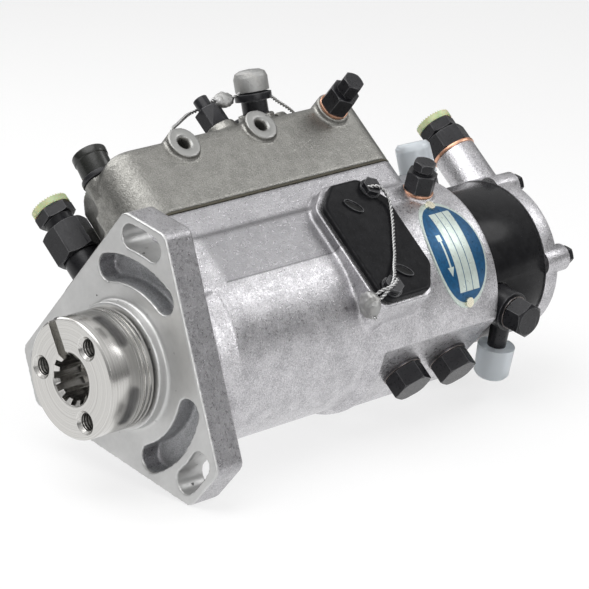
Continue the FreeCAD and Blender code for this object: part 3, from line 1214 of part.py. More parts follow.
def make_deliveries():
    turn = about_y(d.outlet_turn)
    seat = d.outlet_seat
    thin = d.washer_thickness
    height = d.eye_height
    for lift in (0, thin + height):
        WASHERS.append(tube("banjo_ring", 7, 4.5, thin,
                            at=polar(seat + lift, d.outlet_turn, d.outlet_y), turn=turn))
    eye = rod("banjo_eye", d.eye_radius, height, turn="+Z")
    neck = cone("banjo_neck", 4.3, 3.8, 17, at=(0, 0, height / 2), turn="+X")
    tip = rod("banjo_tip", 3.2, 29, at=(0, 0, height / 2), turn="+X")
    bore = rod("banjo_bore", 4.5, height + 2, at=(0, 0, -1), turn="+Z")
    banjo = cut("banjo", fuse("banjo_solid", [eye, neck, tip]), [bore])
    at = polar(seat + thin, d.outlet_turn, d.outlet_y)
    node(put(banjo, at, turn), "banjo")
    over = seat + 2 * thin + height
    head = chamfered_hex("banjo_head", 13, 8.5, 1.6)
    shank = rod("banjo_shank", 4.5, 20, at=(0, 0, -20), turn="+Z")
    bolt = fuse("banjo_bolt", [head, shank])
    node(put(bolt, polar(over, d.outlet_turn, d.outlet_y), turn), "banjo_bolt")
    caps = []
    shell = turned("cap_shell", [
        (3.2, 0), (d.cap_radius, 0), (d.cap_radius - 0.4, d.cap_length - 1.5),
        (d.cap_radius - 1.6, d.cap_length), (0, d.cap_length), (0, 12), (3.2, 12)])
    put(shell, (17, 0, height / 2), "+X")
    caps.append(put(group("banjo_cap", [shell]), at, turn))
    unions = []
    for index in (1, 2):
        angle = d.outlet_turn + 120 * index
        facing = about_y(angle)
        WASHERS.append(tube("union_ring", 7, 4.5, thin, at=polar(seat, angle, d.outlet_y), turn=facing))
        base = size_of(8.5)
        hexa = chamfered_hex("delivery_hex", 13, base, 0.8)
        shank = rod("delivery_shank", 4.5, 12, at=(0, 0, -12), turn="+Z")
        nose = rod("delivery_nose", 4.6, base + 10, at=(0, 0, 0), turn="+Z")
        spot = polar(seat + thin, angle, d.outlet_y)
        unions.append(put(fuse("delivery_union", [hexa, shank, nose]), spot, facing))
        shell = turned("cap_shell", [
            (4.6, base), (d.cap_radius, base), (d.cap_radius - 0.4, base + d.cap_length - 1.5),
            (d.cap_radius - 1.6, base + d.cap_length), (0, base + d.cap_length), (0, base + 10),
            (4.6, base + 10)])
        caps.append(put(shell, spot, facing))
    node(group("unions", unions), "delivery_unions")
    node(group("caps", caps), "delivery_caps")


# End plate and inlet

def make_lead_seal():
    """The seal crimped on the wire of the inspection cover, against the side of the cover's pad."""
    node(rod("lead_seal", d.seal_radius, 2.2, at=(d.seal_x, d.plate_start - d.pad_margin, d.seal_z),
             turn="-Y"), "lead_seal")


def make_end_plate():
    start = d.head_end
    base = rod("end_base", d.head_radius + 0.4, d.plate_base, at=(0, start, 0))
    core = cone("end_core", d.end_core_radius + 4.5, d.end_core_radius, d.end_face - start - d.plate_base,
                at=(0, start + d.plate_base, 0))
    pieces = [base, core]
    for angle in end_screw_angles():
        pieces.append(rod("end_lug", d.end_lug_radius, d.end_lug_end - start,
                          at=polar(d.end_screw_circle, angle, start)))
    boss = rod("inlet_boss", d.inlet_radius, d.inlet_top, at=(d.inlet_x, d.inlet_y, 0), turn="+Z")
    root = ball("inlet_root", d.inlet_radius, at=(d.inlet_x, d.inlet_y, 0))
    pieces += [boss, root]
    body = fuse("end_casting", pieces)
    tools = [
        rod("liner_pocket", d.liner_radius, d.liner_width + 1, at=(0, start - 1, 0)),
        rod("regulating_bore", d.piston_radius + d.running_gap, 60, at=(d.inlet_x, d.inlet_y, 8),
            turn="+Z"),
        rod("inlet_thread", 5.5, 20, at=(d.inlet_x, d.inlet_y, d.inlet_top - 10), turn="+Z"),
    ]
    screws = []
    length = d.end_lug_end - start + d.end_screw_grip
    for angle in end_screw_angles():
        tools.append(rod("end_hole", d.end_screw_radius, 40, at=polar(d.end_screw_circle, angle, start - 10)))
        head = chamfered_hex("end_head", 7, 4.5, 0.5)
        shank = rod("end_shank", d.end_screw_radius, length, at=(0, 0, -length), turn="+Z")
        screws.append(put(fuse("end_screw", [head, shank]),
                          polar(d.end_screw_circle, angle, d.end_lug_end), "+Y"))
    node(cut("end_plate", body, tools), "end_plate")
    node(group("end_screws", screws), "end_plate_screws")

    node(rod("regulating_piston", d.piston_radius, 6, at=(d.inlet_x, d.inlet_y, 10), turn="+Z"),
         "regulating_piston")

    at = (d.inlet_x, d.inlet_y, d.inlet_top)
    WASHERS.append(tube("inlet_ring", 9.6, 5.5, 1.4, at=at, turn="+Z"))
    up = (d.inlet_x, d.inlet_y, d.inlet_top + 1.4)
    lower = chamfered_hex("inlet_hex", 17, 8, 1.2)
    neck = rod("inlet_neck", 6.4, 3, at=(0, 0, 7), turn="+Z")
    upper = put(chamfered_hex("inlet_nut", 14, 4.5, 0.8), (0, 0, 9), "+Z")
    shank = rod("inlet_shank", 5.5, 10, at=(0, 0, -10), turn="+Z")
    bore = rod("inlet_bore", 3.6, 30, at=(0, 0, -11), turn="+Z")
    body = cut("inlet_adaptor", fuse("inlet_solid", [lower, neck, upper, shank]), [bore])
    node(put(body, up, "+Z"), "inlet_adaptor")
    disc = rod("inlet_plug_disc", 7.6, 2.6, at=(0, 0, 13.5), turn="+Z")
    stub = rod("inlet_plug_stub", 3.6, 7, at=(0, 0, 6.5), turn="+Z")
    PLUGS.append(put(fuse("inlet_plug", [disc, stub]), up, "+Z"))


def main():
    make_housing()
    make_drive_hub()
    make_drive_end()
    make_governor()
    make_head()
    make_cam_ring()
    make_rotor()
    make_transfer_pump()
    make_cover()
    make_cover_gasket()
    make_cover_screws()
    make_spindles()
    make_idle_screw()
    make_stop_screw()
    make_leakoff()
    make_vent()
    make_adaptor()
    make_inspection_cover()
    make_data_plate()
    make_head_fitting()
    make_bottom_screws()
    make_deliveries()
    make_end_plate()
    make_lead_seal()
    node(group("washers", WASHERS), "sealing_washers")
    node(group("plugs", PLUGS), "transit_plugs")
    node(group("vent_bodies", VENT_BODIES), "vent_bodies")
    node(group("vent_screws", VENT_SCREWS), "vent_screws")
    node(group("gaskets", GASKETS), "gaskets")
    doc.recompute()
    for thing in doc.Objects:
        for state in thing.State:
            if state in ("Invalid", "Error"):
                raise RuntimeError("%s failed: %s" % (thing.Label, thing.State))
    os.makedirs("parts", exist_ok=True)
    for thing in NODES:
        shape = thing.Shape
        if shape.isNull() or not shape.isValid() or not shape.Solids:
            raise RuntimeError("%s has no valid solid" % thing.Label)
        print("%-26s solids %d volume %9.1f" % (thing.Label, len(shape.Solids), shape.Volume))
        shape.exportStep("parts/%s.step" % thing.Label)
    print("%d nodes" % len(NODES))


main()
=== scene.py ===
"""Looks of a flange mounted diesel injection pump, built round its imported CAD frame."""

import math
from bisect import bisect_right

import bpy
import numpy as np
from mathutils import Matrix, Vector


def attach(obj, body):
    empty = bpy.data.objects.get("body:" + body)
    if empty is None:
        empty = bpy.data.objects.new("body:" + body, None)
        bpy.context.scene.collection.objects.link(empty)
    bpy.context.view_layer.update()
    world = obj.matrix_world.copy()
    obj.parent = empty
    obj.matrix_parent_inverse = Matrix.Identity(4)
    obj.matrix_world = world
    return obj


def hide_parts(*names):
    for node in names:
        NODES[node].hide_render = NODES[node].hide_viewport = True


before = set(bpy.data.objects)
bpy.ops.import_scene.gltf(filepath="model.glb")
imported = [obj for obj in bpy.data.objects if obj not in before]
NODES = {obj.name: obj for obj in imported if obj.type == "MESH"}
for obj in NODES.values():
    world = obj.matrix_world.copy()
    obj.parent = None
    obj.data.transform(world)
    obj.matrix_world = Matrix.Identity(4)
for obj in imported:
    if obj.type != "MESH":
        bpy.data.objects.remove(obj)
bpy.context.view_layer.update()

bl_info = {
    "name": "Injection pump looks",
    "version": (1, 0, 0),
    "blender": (4, 5, 0),
    "location": "View3D > Sidebar > Pump",
    "description": "Castings, finishes, sealing wires and studio of a diesel injection pump",
    "category": "Object",
}

MM = 0.001


# Sizes and colours that a user would change

def length(label, text, millimetres):
    return bpy.props.FloatProperty(name=label, description=text, default=millimetres * MM, unit="LENGTH",
                                   precision=5)


def colour(label, text, red, green, blue):
    return bpy.props.FloatVectorProperty(name=label, description=text, default=(red, green, blue),
                                         subtype="COLOR", size=3, min=0, max=1)


def amount(label, text, value, **more):
    return bpy.props.FloatProperty(name=label, description=text, default=value, **more)


class PumpFinishes(bpy.types.PropertyGroup):
    """Colours of the pump's surfaces."""
    casting: colour("Housing casting", "Clean as-cast aluminium", 0.66, 0.65, 0.67)
    casting_dark: colour("Housing casting, dark grain", "Dark grain of the as-cast skin", 0.35, 0.345, 0.36)
    pocket: colour("Rough pocket", "Unworked casting in the flange's pockets", 0.56, 0.565, 0.58)
    cover: colour("Cover casting", "Dull casting of the governor cover", 0.32, 0.315, 0.295)
    cover_dark: colour("Cover casting, mottles", "Dark mottles of the governor cover", 0.19, 0.187, 0.175)
    turned: colour("Turned steel", "Drive hub", 0.60, 0.59, 0.57)
    bright: colour("Bright steel", "Plated screws and the stop screw's cup", 0.66, 0.66, 0.65)
    black: colour("Blackened steel", "Hexagons and screws", 0.011, 0.011, 0.013)
    plate_black: colour("Gloss black", "Inspection cover and the head", 0.008, 0.008, 0.009)
    copper: colour("Copper", "Sealing washers", 0.72, 0.40, 0.27)
    gasket: colour("Gasket fibre", "Cover gaskets", 0.085, 0.078, 0.055)
    plug: colour("Plug plastic", "Serrated transit plugs", 0.66, 0.74, 0.42)
    cap: colour("Cap plastic", "Translucent caps of the outlets", 0.80, 0.85, 0.89)
    label_blue: colour("Data plate ground", "Blue of the data plate", 0.006, 0.08, 0.19)
    label_pale: colour("Data plate fields", "Bare border and fields of the data plate", 0.60, 0.68, 0.63)
    lead: colour("Lead", "Crimped seals on the wires", 0.36, 0.36, 0.355)
    wire: colour("Sealing wire", "Twisted wire", 0.42, 0.42, 0.42)


class PumpSizes(bpy.types.PropertyGroup):
    """Sizes of the details that are built here."""
    casting_step: length("Casting step", "Spacing of the points that the cast skins are made of", 0.62)
    edge: length("Edge rounding", "Rounding of machined edges", 0.28)
    wire_radius: length("Wire strand", "Radius of one strand of the sealing wire", 0.38)
    wire_pitch: length("Wire pitch", "Length of one turn of the twisted wire", 3.4)
    plug_radius: length("Plug rim", "Outside radius of a transit plug", 8.5)
    plug_height: length("Plug height", "Height of a transit plug's rim", 2.6)
    plug_notches: bpy.props.IntProperty(name="Plug notches", description="Notches round a transit plug",
                                        default=40, min=12, max=72)
    slit_length: length("Louvre slit", "Length of a louvre in the inspection cover", 9.0)


class PumpStudio(bpy.types.PropertyGroup):
    """Camera and light."""
    lens: amount("Lens", "Focal length on a sensor 36 mm wide", 187.9, unit="CAMERA", subtype="DISTANCE_CAMERA")
    key: amount("Key lamp", "Power of the large soft lamp over the pump", 3.6, min=0, unit="POWER")
    front: amount("Front lamp", "Power of the soft lamp beside the camera", 1.7, min=0, unit="POWER")
    rim: amount("Far lamp", "Power of the lamp on the far side", 1.6, min=0, unit="POWER")
    side: amount("Side lamp", "Power of the lamp whose streak runs along the barrel", 0.95, min=0, unit="POWER")
    room: amount("Room light", "Strength of the even light from the room", 0.42, min=0, subtype="FACTOR")
    shadow: amount("Floor shadow", "Share of the shadow that the floor shows", 0.27, min=0, max=1,
                   subtype="FACTOR")


# Tools for modelling

MERGE = 2e-6


def mm(*values):
    return tuple(value * MM for value in values)


def nothing_selected():
    if bpy.context.object and bpy.context.object.mode != "OBJECT":
        end_edit()
    bpy.ops.object.select_all(action="DESELECT")


def choose(piece, *others):
    """Selects the pieces, the first one active."""
    nothing_selected()
    for one in (piece, *others):
        one.select_set(True)
    bpy.context.view_layer.objects.active = piece


def edit(piece, kind="FACE"):
    choose(piece)
    bpy.ops.object.mode_set(mode="EDIT")
    bpy.ops.mesh.select_mode(type=kind)
    bpy.ops.mesh.select_all(action="SELECT")


def end_edit():
    bpy.ops.object.mode_set(mode="OBJECT")


def pick(piece, wanted):
    """Selects the faces for which wanted(centre, normal) holds, in edit mode."""
    bpy.ops.mesh.select_all(action="DESELECT")
    end_edit()
    for face in piece.data.polygons:
        face.select = bool(wanted(face.center, face.normal))
    if not any(face.select for face in piece.data.polygons):
        raise RuntimeError("%s has no face of the kind that is wanted" % piece.name)
    bpy.ops.object.mode_set(mode="EDIT")
    bpy.ops.mesh.select_mode(type="FACE")


def upward(centre, normal):
    return normal.z > 0.9


def extrude(x, y, z):
    """Extrudes what is selected, by millimetres."""
    bpy.ops.mesh.extrude_region_move(TRANSFORM_OT_translate={"value": mm(x, y, z)})


def inset(width, rise=0.0):
    """Insets the selected faces and lifts the inner ones, both in millimetres."""
    bpy.ops.mesh.inset(thickness=width * MM)
    if rise:
        bpy.ops.transform.translate(value=mm(0, 0, rise))


def add_object(name, data):
    piece = bpy.data.objects.new(name, data)
    bpy.context.scene.collection.objects.link(piece)
    return piece


def named(name):
    piece = bpy.context.object
    piece.name = name
    piece.data.name = name
    return piece


def drum(name, radius, height, sides=48, low=0.0):
    """A round start that stands on local Z from low to low + height."""
    nothing_selected()
    bpy.ops.mesh.primitive_cylinder_add(vertices=sides, radius=radius, depth=height,
                                        location=(0, 0, low + height / 2))
    piece = named(name)
    bpy.ops.object.transform_apply(location=True, rotation=True, scale=True)
    return piece


def flat_sheet(name, places):
    """One face with its corners at the given places, left in edit mode."""
    nothing_selected()
    bpy.ops.mesh.primitive_circle_add(vertices=len(places), radius=0.01, fill_type="NGON")
    piece = named(name)
    for vertex, place in zip(piece.data.vertices, places):
        vertex.co = place
    edit(piece)
    return piece


def close_up():
    """Turns all faces of the piece in edit mode outwards, and ends edit mode."""
    bpy.ops.mesh.select_all(action="SELECT")
    bpy.ops.mesh.normals_make_consistent(inside=False)
    end_edit()


def prism(name, outline, low, high):
    """A straight block on an outline in X and Y, in millimetres."""
    piece = flat_sheet(name, [mm(x, y, low) for x, y in outline])
    extrude(0, 0, high - low)
    close_up()
    return piece


def add_modifier(piece, name, kind, **settings):
    modifier = piece.modifiers.new(name, kind)
    for key, value in settings.items():
        setattr(modifier, key, value)
    return modifier


def modify(piece, kind, **settings):
    """Adds a modifier and applies it."""
    choose(piece)
    bpy.ops.object.modifier_apply(modifier=add_modifier(piece, kind.title(), kind, **settings).name)


def smooth(piece, degrees):
    choose(piece)
    bpy.ops.object.shade_smooth_by_angle(angle=math.radians(degrees))


def soften(piece, width, segments, limit, shading=32):
    """Rounds the edges over the limit in radians by millimetres, and shades smooth up to some degrees."""
    modify(piece, "BEVEL", width=width * MM, segments=segments, limit_method="ANGLE", angle_limit=limit)
    smooth(piece, shading)


def frame_at(spot, x, y, z):
    """Matrix of a frame with these axes at this spot."""
    return Matrix.Translation(spot) @ Matrix((x, y, z)).transposed().to_4x4()


def set_down(piece, matrix=None):
    """Puts the piece at its place and keeps that place in its mesh."""
    choose(piece)
    if matrix is not None:
        piece.matrix_world = matrix
    bpy.ops.object.transform_apply(location=True, rotation=True, scale=True)


def copy_of(node, name):
    """A merged copy of a CAD node's mesh as a piece of its own."""
    piece = add_object(name, NODES[node].data.copy())
    piece.data.name = name
    piece.data.materials.clear()
    edit(piece, "VERT")
    bpy.ops.mesh.remove_doubles(threshold=MERGE)
    end_edit()
    return piece


def ride(piece, body, slot, *nodes, finish=None, painted=False):
    """Sets the piece on its body, with the finish of its slot unless another is named or it is painted already."""
    if not painted:
        piece.data.materials.clear()
        piece.data.materials.append(FINISHES[finish or slot])
    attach(piece, body)
    if nodes:
        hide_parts(*nodes)
    return piece


# Materials

def toned(tone, factor, lift=0.0):
    """A colour made darker or lighter, but not past white."""
    return tuple(min(1.0, value * factor + lift) for value in tone)


def add_node(tree, kind, inputs=(), **settings):
    """A shader node; each input is given as a value or as the socket that feeds it."""
    made = tree.nodes.new(kind)
    for name, value in settings.items():
        setattr(made, name, value)
    for key, value in dict(inputs).items():
        if isinstance(value, bpy.types.NodeSocket):
            tree.links.new(value, made.inputs[key])
        else:
            made.inputs[key].default_value = value
    return made


def fresh_tree(owner):
    """The empty node tree of a material or a world."""
    owner.use_nodes = True
    owner.node_tree.nodes.clear()
    return owner.node_tree


class Recipe:
    """One material's node tree, written from the shader backwards."""

    def __init__(self, name, **settings):
        self.material = bpy.data.materials.new(name)
        self.tree = fresh_tree(self.material)
        self.shader = self.node("ShaderNodeBsdfPrincipled")
        self.node("ShaderNodeOutputMaterial", {"Surface": self.shader.outputs["BSDF"]})
        self.place = self.node("ShaderNodeTexCoord").outputs["Object"]
        for socket, value in settings.items():
            self.shader.inputs[socket.replace("_", " ")].default_value = value

    def node(self, kind, inputs=(), **settings):
        return add_node(self.tree, kind, inputs, **settings)

    def math(self, operation, first, second=0.0):
        return self.node("ShaderNodeMath", {0: first, 1: second}, operation=operation).outputs[0]

    def fold(self, operation, first, *more):
        for value in more:
            first = self.math(operation, first, value)
        return first

    def times(self, *values):
        """The product of the values."""
        return self.fold("MULTIPLY", *values)

    def highest(self, *values):
        return self.fold("MAXIMUM", *values)

    def span(self, first, second):
        """Length of the sloping side over two straight ones."""
        return self.math("SQRT", self.math("ADD", self.times(first, first), self.times(second, second)))

    def noise(self, scale, detail=2.0, rough=0.5, at=None):
        return self.node("ShaderNodeTexNoise", {"Vector": at or self.place, "Scale": scale, "Detail": detail,
                                                "Roughness": rough}).outputs["Fac"]

    def range(self, value, low, high, to_low=0.0, to_high=1.0):
        return self.node("ShaderNodeMapRange", {"Value": value, "From Min": low, "From Max": high,
                                                "To Min": to_low, "To Max": to_high}).outputs["Result"]

    def between(self, value, low, high, soft):
        """1 where the value lies between low and high, with soft ends."""
        return self.times(self.range(value, low - soft, low + soft),
                          self.range(value, high - soft, high + soft, 1.0, 0.0))

    def mix(self, factor, first, second):
        """The second colour over the first one, by the factor."""
        first, second = (value if isinstance(value, bpy.types.NodeSocket) else (*value, 1.0)
                         for value in (first, second))
        return self.node("ShaderNodeMix", {0: factor, 6: first, 7: second}, data_type="RGBA").outputs[2]

    def edges(self, radius):
        """1 on edges, which are made brighter as wear and as a painted highlight of their rounding, 0 on open faces.
        """
        bevel = self.node("ShaderNodeBevel", {"Radius": radius}, samples=4).outputs["Normal"]
        flat = self.node("ShaderNodeNewGeometry").outputs["Normal"]
        meet = self.node("ShaderNodeVectorMath", {0: bevel, 1: flat}, operation="DOT_PRODUCT").outputs["Value"]
        return self.range(meet, 0.998, 0.93)

    def parts(self):
        """x, y and z of the place."""
        return tuple(self.node("ShaderNodeSeparateXYZ", {0: self.place}).outputs)

    def set(self, socket, value):
        self.tree.links.new(value, self.shader.inputs[socket])

    def brighten_edges_worn_and_lit(self, shade, radius, share, light):
        """Colour of the surface, with the light colour on its edges as wear and as painted highlight."""
        self.set("Base Color", self.mix(self.times(self.edges(radius), share), shade, light))

    def roughness(self, pattern, low, high):
        self.set("Roughness", self.range(pattern, 0.3, 0.7, low, high))

    def relief(self, height, depth, strength=1.0):
        self.set("Normal", self.node("ShaderNodeBump", {"Height": height, "Distance": depth,
                                                        "Strength": strength}).outputs["Normal"])


# Painted shade in the housing's skin: zones made darker on the flange's side, the side wall and the deck band, and
# in the crease under the side wall; share and tone, then from, to and softness on each axis (0 is X), in metres
NEAR_SIDE = (0.03425, 1.0, 0.00025)
HOUSING_PAINTED_SHADE = {
    "flange side": (0.35, 0.62, {1: (0.0006, 0.0135, 0.0003)}),
    "side wall": (0.75, 0.7, {2: (0.0026, 0.0246, 0.0003), 1: (0.0290, 0.0890, 0.0020), 0: NEAR_SIDE}),
    "crease": (0.8, 0.35, {2: (0.0019, 0.0026, 0.00025), 1: (0.0290, 0.0895, 0.0005), 0: NEAR_SIDE}),
    "deck band": (0.55, 0.8, {2: (0.0246, 0.0364, 0.0003), 1: (0.01655, 1.0, 0.00025), 0: NEAR_SIDE}),
}


def cast_finish(name, clean, dark, mottle, grain_depth, rough, metal=0.75, edge_highlight_share=0.35, shade_zones=None):
    """Sand or die cast aluminium: mottled, sparkling in its grain, brighter on its edges as wear and as painted
    highlight, and darker in the given zones as painted shade.
    """
    recipe = Recipe(name, Metallic=metal)
    broad = recipe.range(recipe.noise(mottle, 5.0, 0.62), 0.32, 0.68, 0.0, 0.6)
    fine = recipe.range(recipe.noise(1900, 2.0, 0.7), 0.35, 0.65, -0.3, 0.75)
    shade = recipe.mix(recipe.math("ADD", broad, fine), dark, clean)
    place = recipe.parts()
    # Painted shade: each zone mixes the skin towards a darker tone of its dark grain
    for share, tone, limits in (shade_zones or {}).values():
        inside = [recipe.between(place[axis], *limit) for axis, limit in limits.items()]
        shade = recipe.mix(recipe.times(*inside, share), shade, toned(dark, tone))
    recipe.brighten_edges_worn_and_lit(shade, 0.0008, edge_highlight_share, toned(clean, 1.25, 0.06))
    recipe.roughness(recipe.noise(700, 3.0), rough - 0.08, rough + 0.12)
    recipe.relief(recipe.math("ADD", recipe.noise(2300, 2.0, 0.6), recipe.noise(800, 3.0, 0.6)), grain_depth)
    return recipe.material


def milled_finish(name, base):
    """Milled and turned faces of the casting: even and silky, with small dark pores."""
    recipe = Recipe(name, Metallic=0.85)
    cloud = recipe.range(recipe.noise(60, 4.0, 0.6), 0.35, 0.65)
    pores = recipe.times(recipe.range(recipe.noise(330, 1.0, 0.4), 0.735, 0.76),
                         recipe.range(recipe.noise(45, 2.0), 0.45, 0.55))
    shade = recipe.mix(pores, recipe.mix(cloud, toned(base, 0.88), base), (0.10, 0.10, 0.10))
    recipe.brighten_edges_worn_and_lit(shade, 0.0006, 0.45, (0.88, 0.88, 0.88))
    recipe.roughness(recipe.noise(500, 3.0), 0.36, 0.5)
    recipe.relief(recipe.math("SUBTRACT", recipe.noise(1500, 3.0, 0.6), pores), 0.00003)
    return recipe.material


# The hub's tapped holes, in degrees from +X towards +Z, and the grooves round it, in metres
HUB_HOLES = (8.6, 128.6, 248.6)
HUB_HOLE_CIRCLE = 0.0166
HUB_THREAD_PITCH = 0.00125
HUB_OUTSIDE = (0.0222, 0.0224)
HUB_GROOVES = (-0.0121, -0.0094)
HUB_GROOVE_HALF = 0.00014


def turned_finish(name, base):
    """Lathe work: fine rings round the drive axis, two scribed grooves and the threads of the tapped holes, the
    grooves and the threads' roots darkened as painted shade.
    """
    recipe = Recipe(name, Metallic=1.0, Anisotropic=0.4)
    x, y, z = recipe.parts()
    radius = recipe.span(x, z)
    cut = recipe.node("ShaderNodeCombineXYZ", {0: radius, 1: y, 2: 0.0}).outputs[0]
    rings = recipe.noise(9000, 3.0, 0.65, at=cut)
    bands = recipe.noise(1500, 2.0, 0.5, at=cut)
    shade = recipe.mix(recipe.range(bands, 0.35, 0.65), toned(base, 0.9), toned(base, 1.1))
    grooves = [recipe.between(y, along - HUB_GROOVE_HALF, along + HUB_GROOVE_HALF, 0.00005) for along in HUB_GROOVES]
    scribed = recipe.times(recipe.highest(*grooves), recipe.range(radius, *HUB_OUTSIDE))
    holes = []
    for way in map(math.radians, HUB_HOLES):
        away = recipe.span(recipe.math("SUBTRACT", x, HUB_HOLE_CIRCLE * math.cos(way)),
                           recipe.math("SUBTRACT", z, HUB_HOLE_CIRCLE * math.sin(way)))
        holes.append(recipe.range(away, 0.0036, 0.0037, 1.0, 0.0))
    threads = recipe.highest(*holes)
    wave = recipe.math("SINE", recipe.times(y, 2 * math.pi / HUB_THREAD_PITCH))
    crest = recipe.times(threads, recipe.range(wave, -1.0, 1.0))
    thread_root_shade = recipe.times(recipe.math("SUBTRACT", threads, crest), 0.75)
    # Painted shade: the threads' roots and the scribed grooves are darkened
    shade = recipe.mix(thread_root_shade, shade, (0.03, 0.03, 0.03))
    shade = recipe.mix(recipe.times(scribed, 0.7), shade, (0.12, 0.12, 0.12))
    recipe.brighten_edges_worn_and_lit(shade, 0.0004, 0.5, (0.93, 0.92, 0.90))
    recipe.roughness(rings, 0.18, 0.28)
    recipe.set("Tangent", recipe.node("ShaderNodeTangent", direction_type="RADIAL", axis="Y").outputs[0])
    height = recipe.math("SUBTRACT", recipe.times(rings, 0.012), scribed)
    recipe.relief(recipe.math("ADD", height, recipe.times(crest, 3.0)), 0.0001, 0.7)
    return recipe.material


def black_finish(name, base, rough, metal=0.1, grain=0.00003, shine=0.3, wear_and_highlight=0.35):
    """Blackened or painted steel, with grey edges as wear and as painted highlight."""
    recipe = Recipe(name, Metallic=metal, Specular_IOR_Level=shine)
    cloud = recipe.range(recipe.noise(260, 4.0, 0.6), 0.35, 0.7)
    shade = recipe.mix(cloud, base, toned(base, 1.3, 0.004))
    edge_wear_and_highlight = recipe.times(recipe.range(recipe.noise(500, 3.0), 0.3, 0.6, 0.25, 1.0), wear_and_highlight)
    recipe.brighten_edges_worn_and_lit(shade, 0.00045, edge_wear_and_highlight, (0.45, 0.45, 0.46))
    recipe.roughness(recipe.noise(900, 3.0, 0.6), rough - 0.06, rough + 0.08)
    recipe.relief(recipe.noise(1800, 3.0, 0.6), grain)
    return recipe.material


def metal_finish(name, base, rough, metal=0.9, stain=(0.3, 0.28, 0.25), stain_share=0.3, grain=0.00002):
    """Plain worked metal with slight stains, and edges made bright as wear and as painted highlight."""
    recipe = Recipe(name, Metallic=metal)
    cloud = recipe.range(recipe.noise(300, 4.0, 0.6), 0.45, 0.75, 0.0, stain_share)
    recipe.brighten_edges_worn_and_lit(recipe.mix(cloud, base, stain), 0.0004, 0.5, toned(base, 1.3, 0.05))
    recipe.roughness(recipe.noise(1200, 3.0), rough - 0.06, rough + 0.1)
    recipe.relief(recipe.noise(2400, 2.0), grain)
    return recipe.material


def plastic_finish(name, base, rough, clear=0.0, skin=0.0):
    """Moulded plastic, solid or translucent."""
    recipe = Recipe(name, Transmission_Weight=clear, Subsurface_Weight=skin, Subsurface_Scale=0.002, IOR=1.48)
    cloud = recipe.range(recipe.noise(220, 3.0, 0.5), 0.3, 0.7)
    recipe.set("Base Color", recipe.mix(cloud, toned(base, 0.78), base))
    recipe.roughness(recipe.noise(800, 3.0), rough - 0.05, rough + 0.08)
    recipe.relief(recipe.noise(1300, 2.0), 0.00002)
    return recipe.material


def clear_finish(name, base):
    """Thin clouded plastic that lets light through."""
    recipe = Recipe(name, Transmission_Weight=0.45, IOR=1.42)
    cloud = recipe.range(recipe.noise(90, 2.0, 0.4), 0.3, 0.7)
    recipe.set("Base Color", recipe.mix(cloud, toned(base, 0.96), base))
    recipe.roughness(recipe.noise(240, 2.0), 0.30, 0.38)
    recipe.relief(recipe.noise(500, 1.0), 0.000004)
    return recipe.material


def fibre_finish(name, base):
    """Pressed gasket board with short fibres, near black where it lies under the inspection cover."""
    recipe = Recipe(name)
    under_plate = recipe.range(recipe.parts()[0], 0.0424, 0.0428)
    long = recipe.node("ShaderNodeMapping", {"Vector": recipe.place, "Scale": (1.0, 0.25, 3.0)}).outputs[0]
    strands = recipe.noise(1600, 4.0, 0.7, at=long)
    board = recipe.mix(recipe.range(strands, 0.3, 0.7), toned(base, 0.6), base)
    recipe.set("Base Color", recipe.mix(under_plate, board, (0.03, 0.03, 0.028)))
    recipe.roughness(strands, 0.75, 0.95)
    recipe.relief(strands, 0.00006)
    return recipe.material


def washer_finish(name, bright, dull):
    """Copper under the vent, the head fitting and the inlet, blackened steel under the rest."""
    recipe = Recipe(name, Metallic=0.9)
    y, z = recipe.parts()[1:]
    outlets = recipe.between(y, 0.163, 0.180, 0.0005)
    soft = recipe.times(recipe.range(z, 0.0, 0.001), recipe.math("SUBTRACT", 1.0, outlets))
    tarnish = recipe.range(recipe.noise(320, 4.0, 0.6), 0.4, 0.75, 0.0, 0.5)
    shade = recipe.mix(soft, dull, recipe.mix(tarnish, bright, (0.42, 0.18, 0.1)))
    recipe.brighten_edges_worn_and_lit(shade, 0.0003, 0.4, (0.86, 0.66, 0.55))
    recipe.roughness(recipe.noise(900, 3.0), 0.24, 0.4)
    return recipe.material


# The data plate's middle, the radius that it is bent to and its half sizes, in metres and degrees
DATA_PLATE = {"middle_y": 0.1423, "middle_turn": -16.0, "radius": 0.0425, "half_long": 0.0222, "half_wide": 0.014}
PRINT_EDGE = 0.00006
FIELD_STARTS = (-0.0043, -0.0005, 0.0033)
FIELD_WIDTH = 0.00345
ARROW_MIDDLE = 0.00675
ARROW_TIP = 0.0098


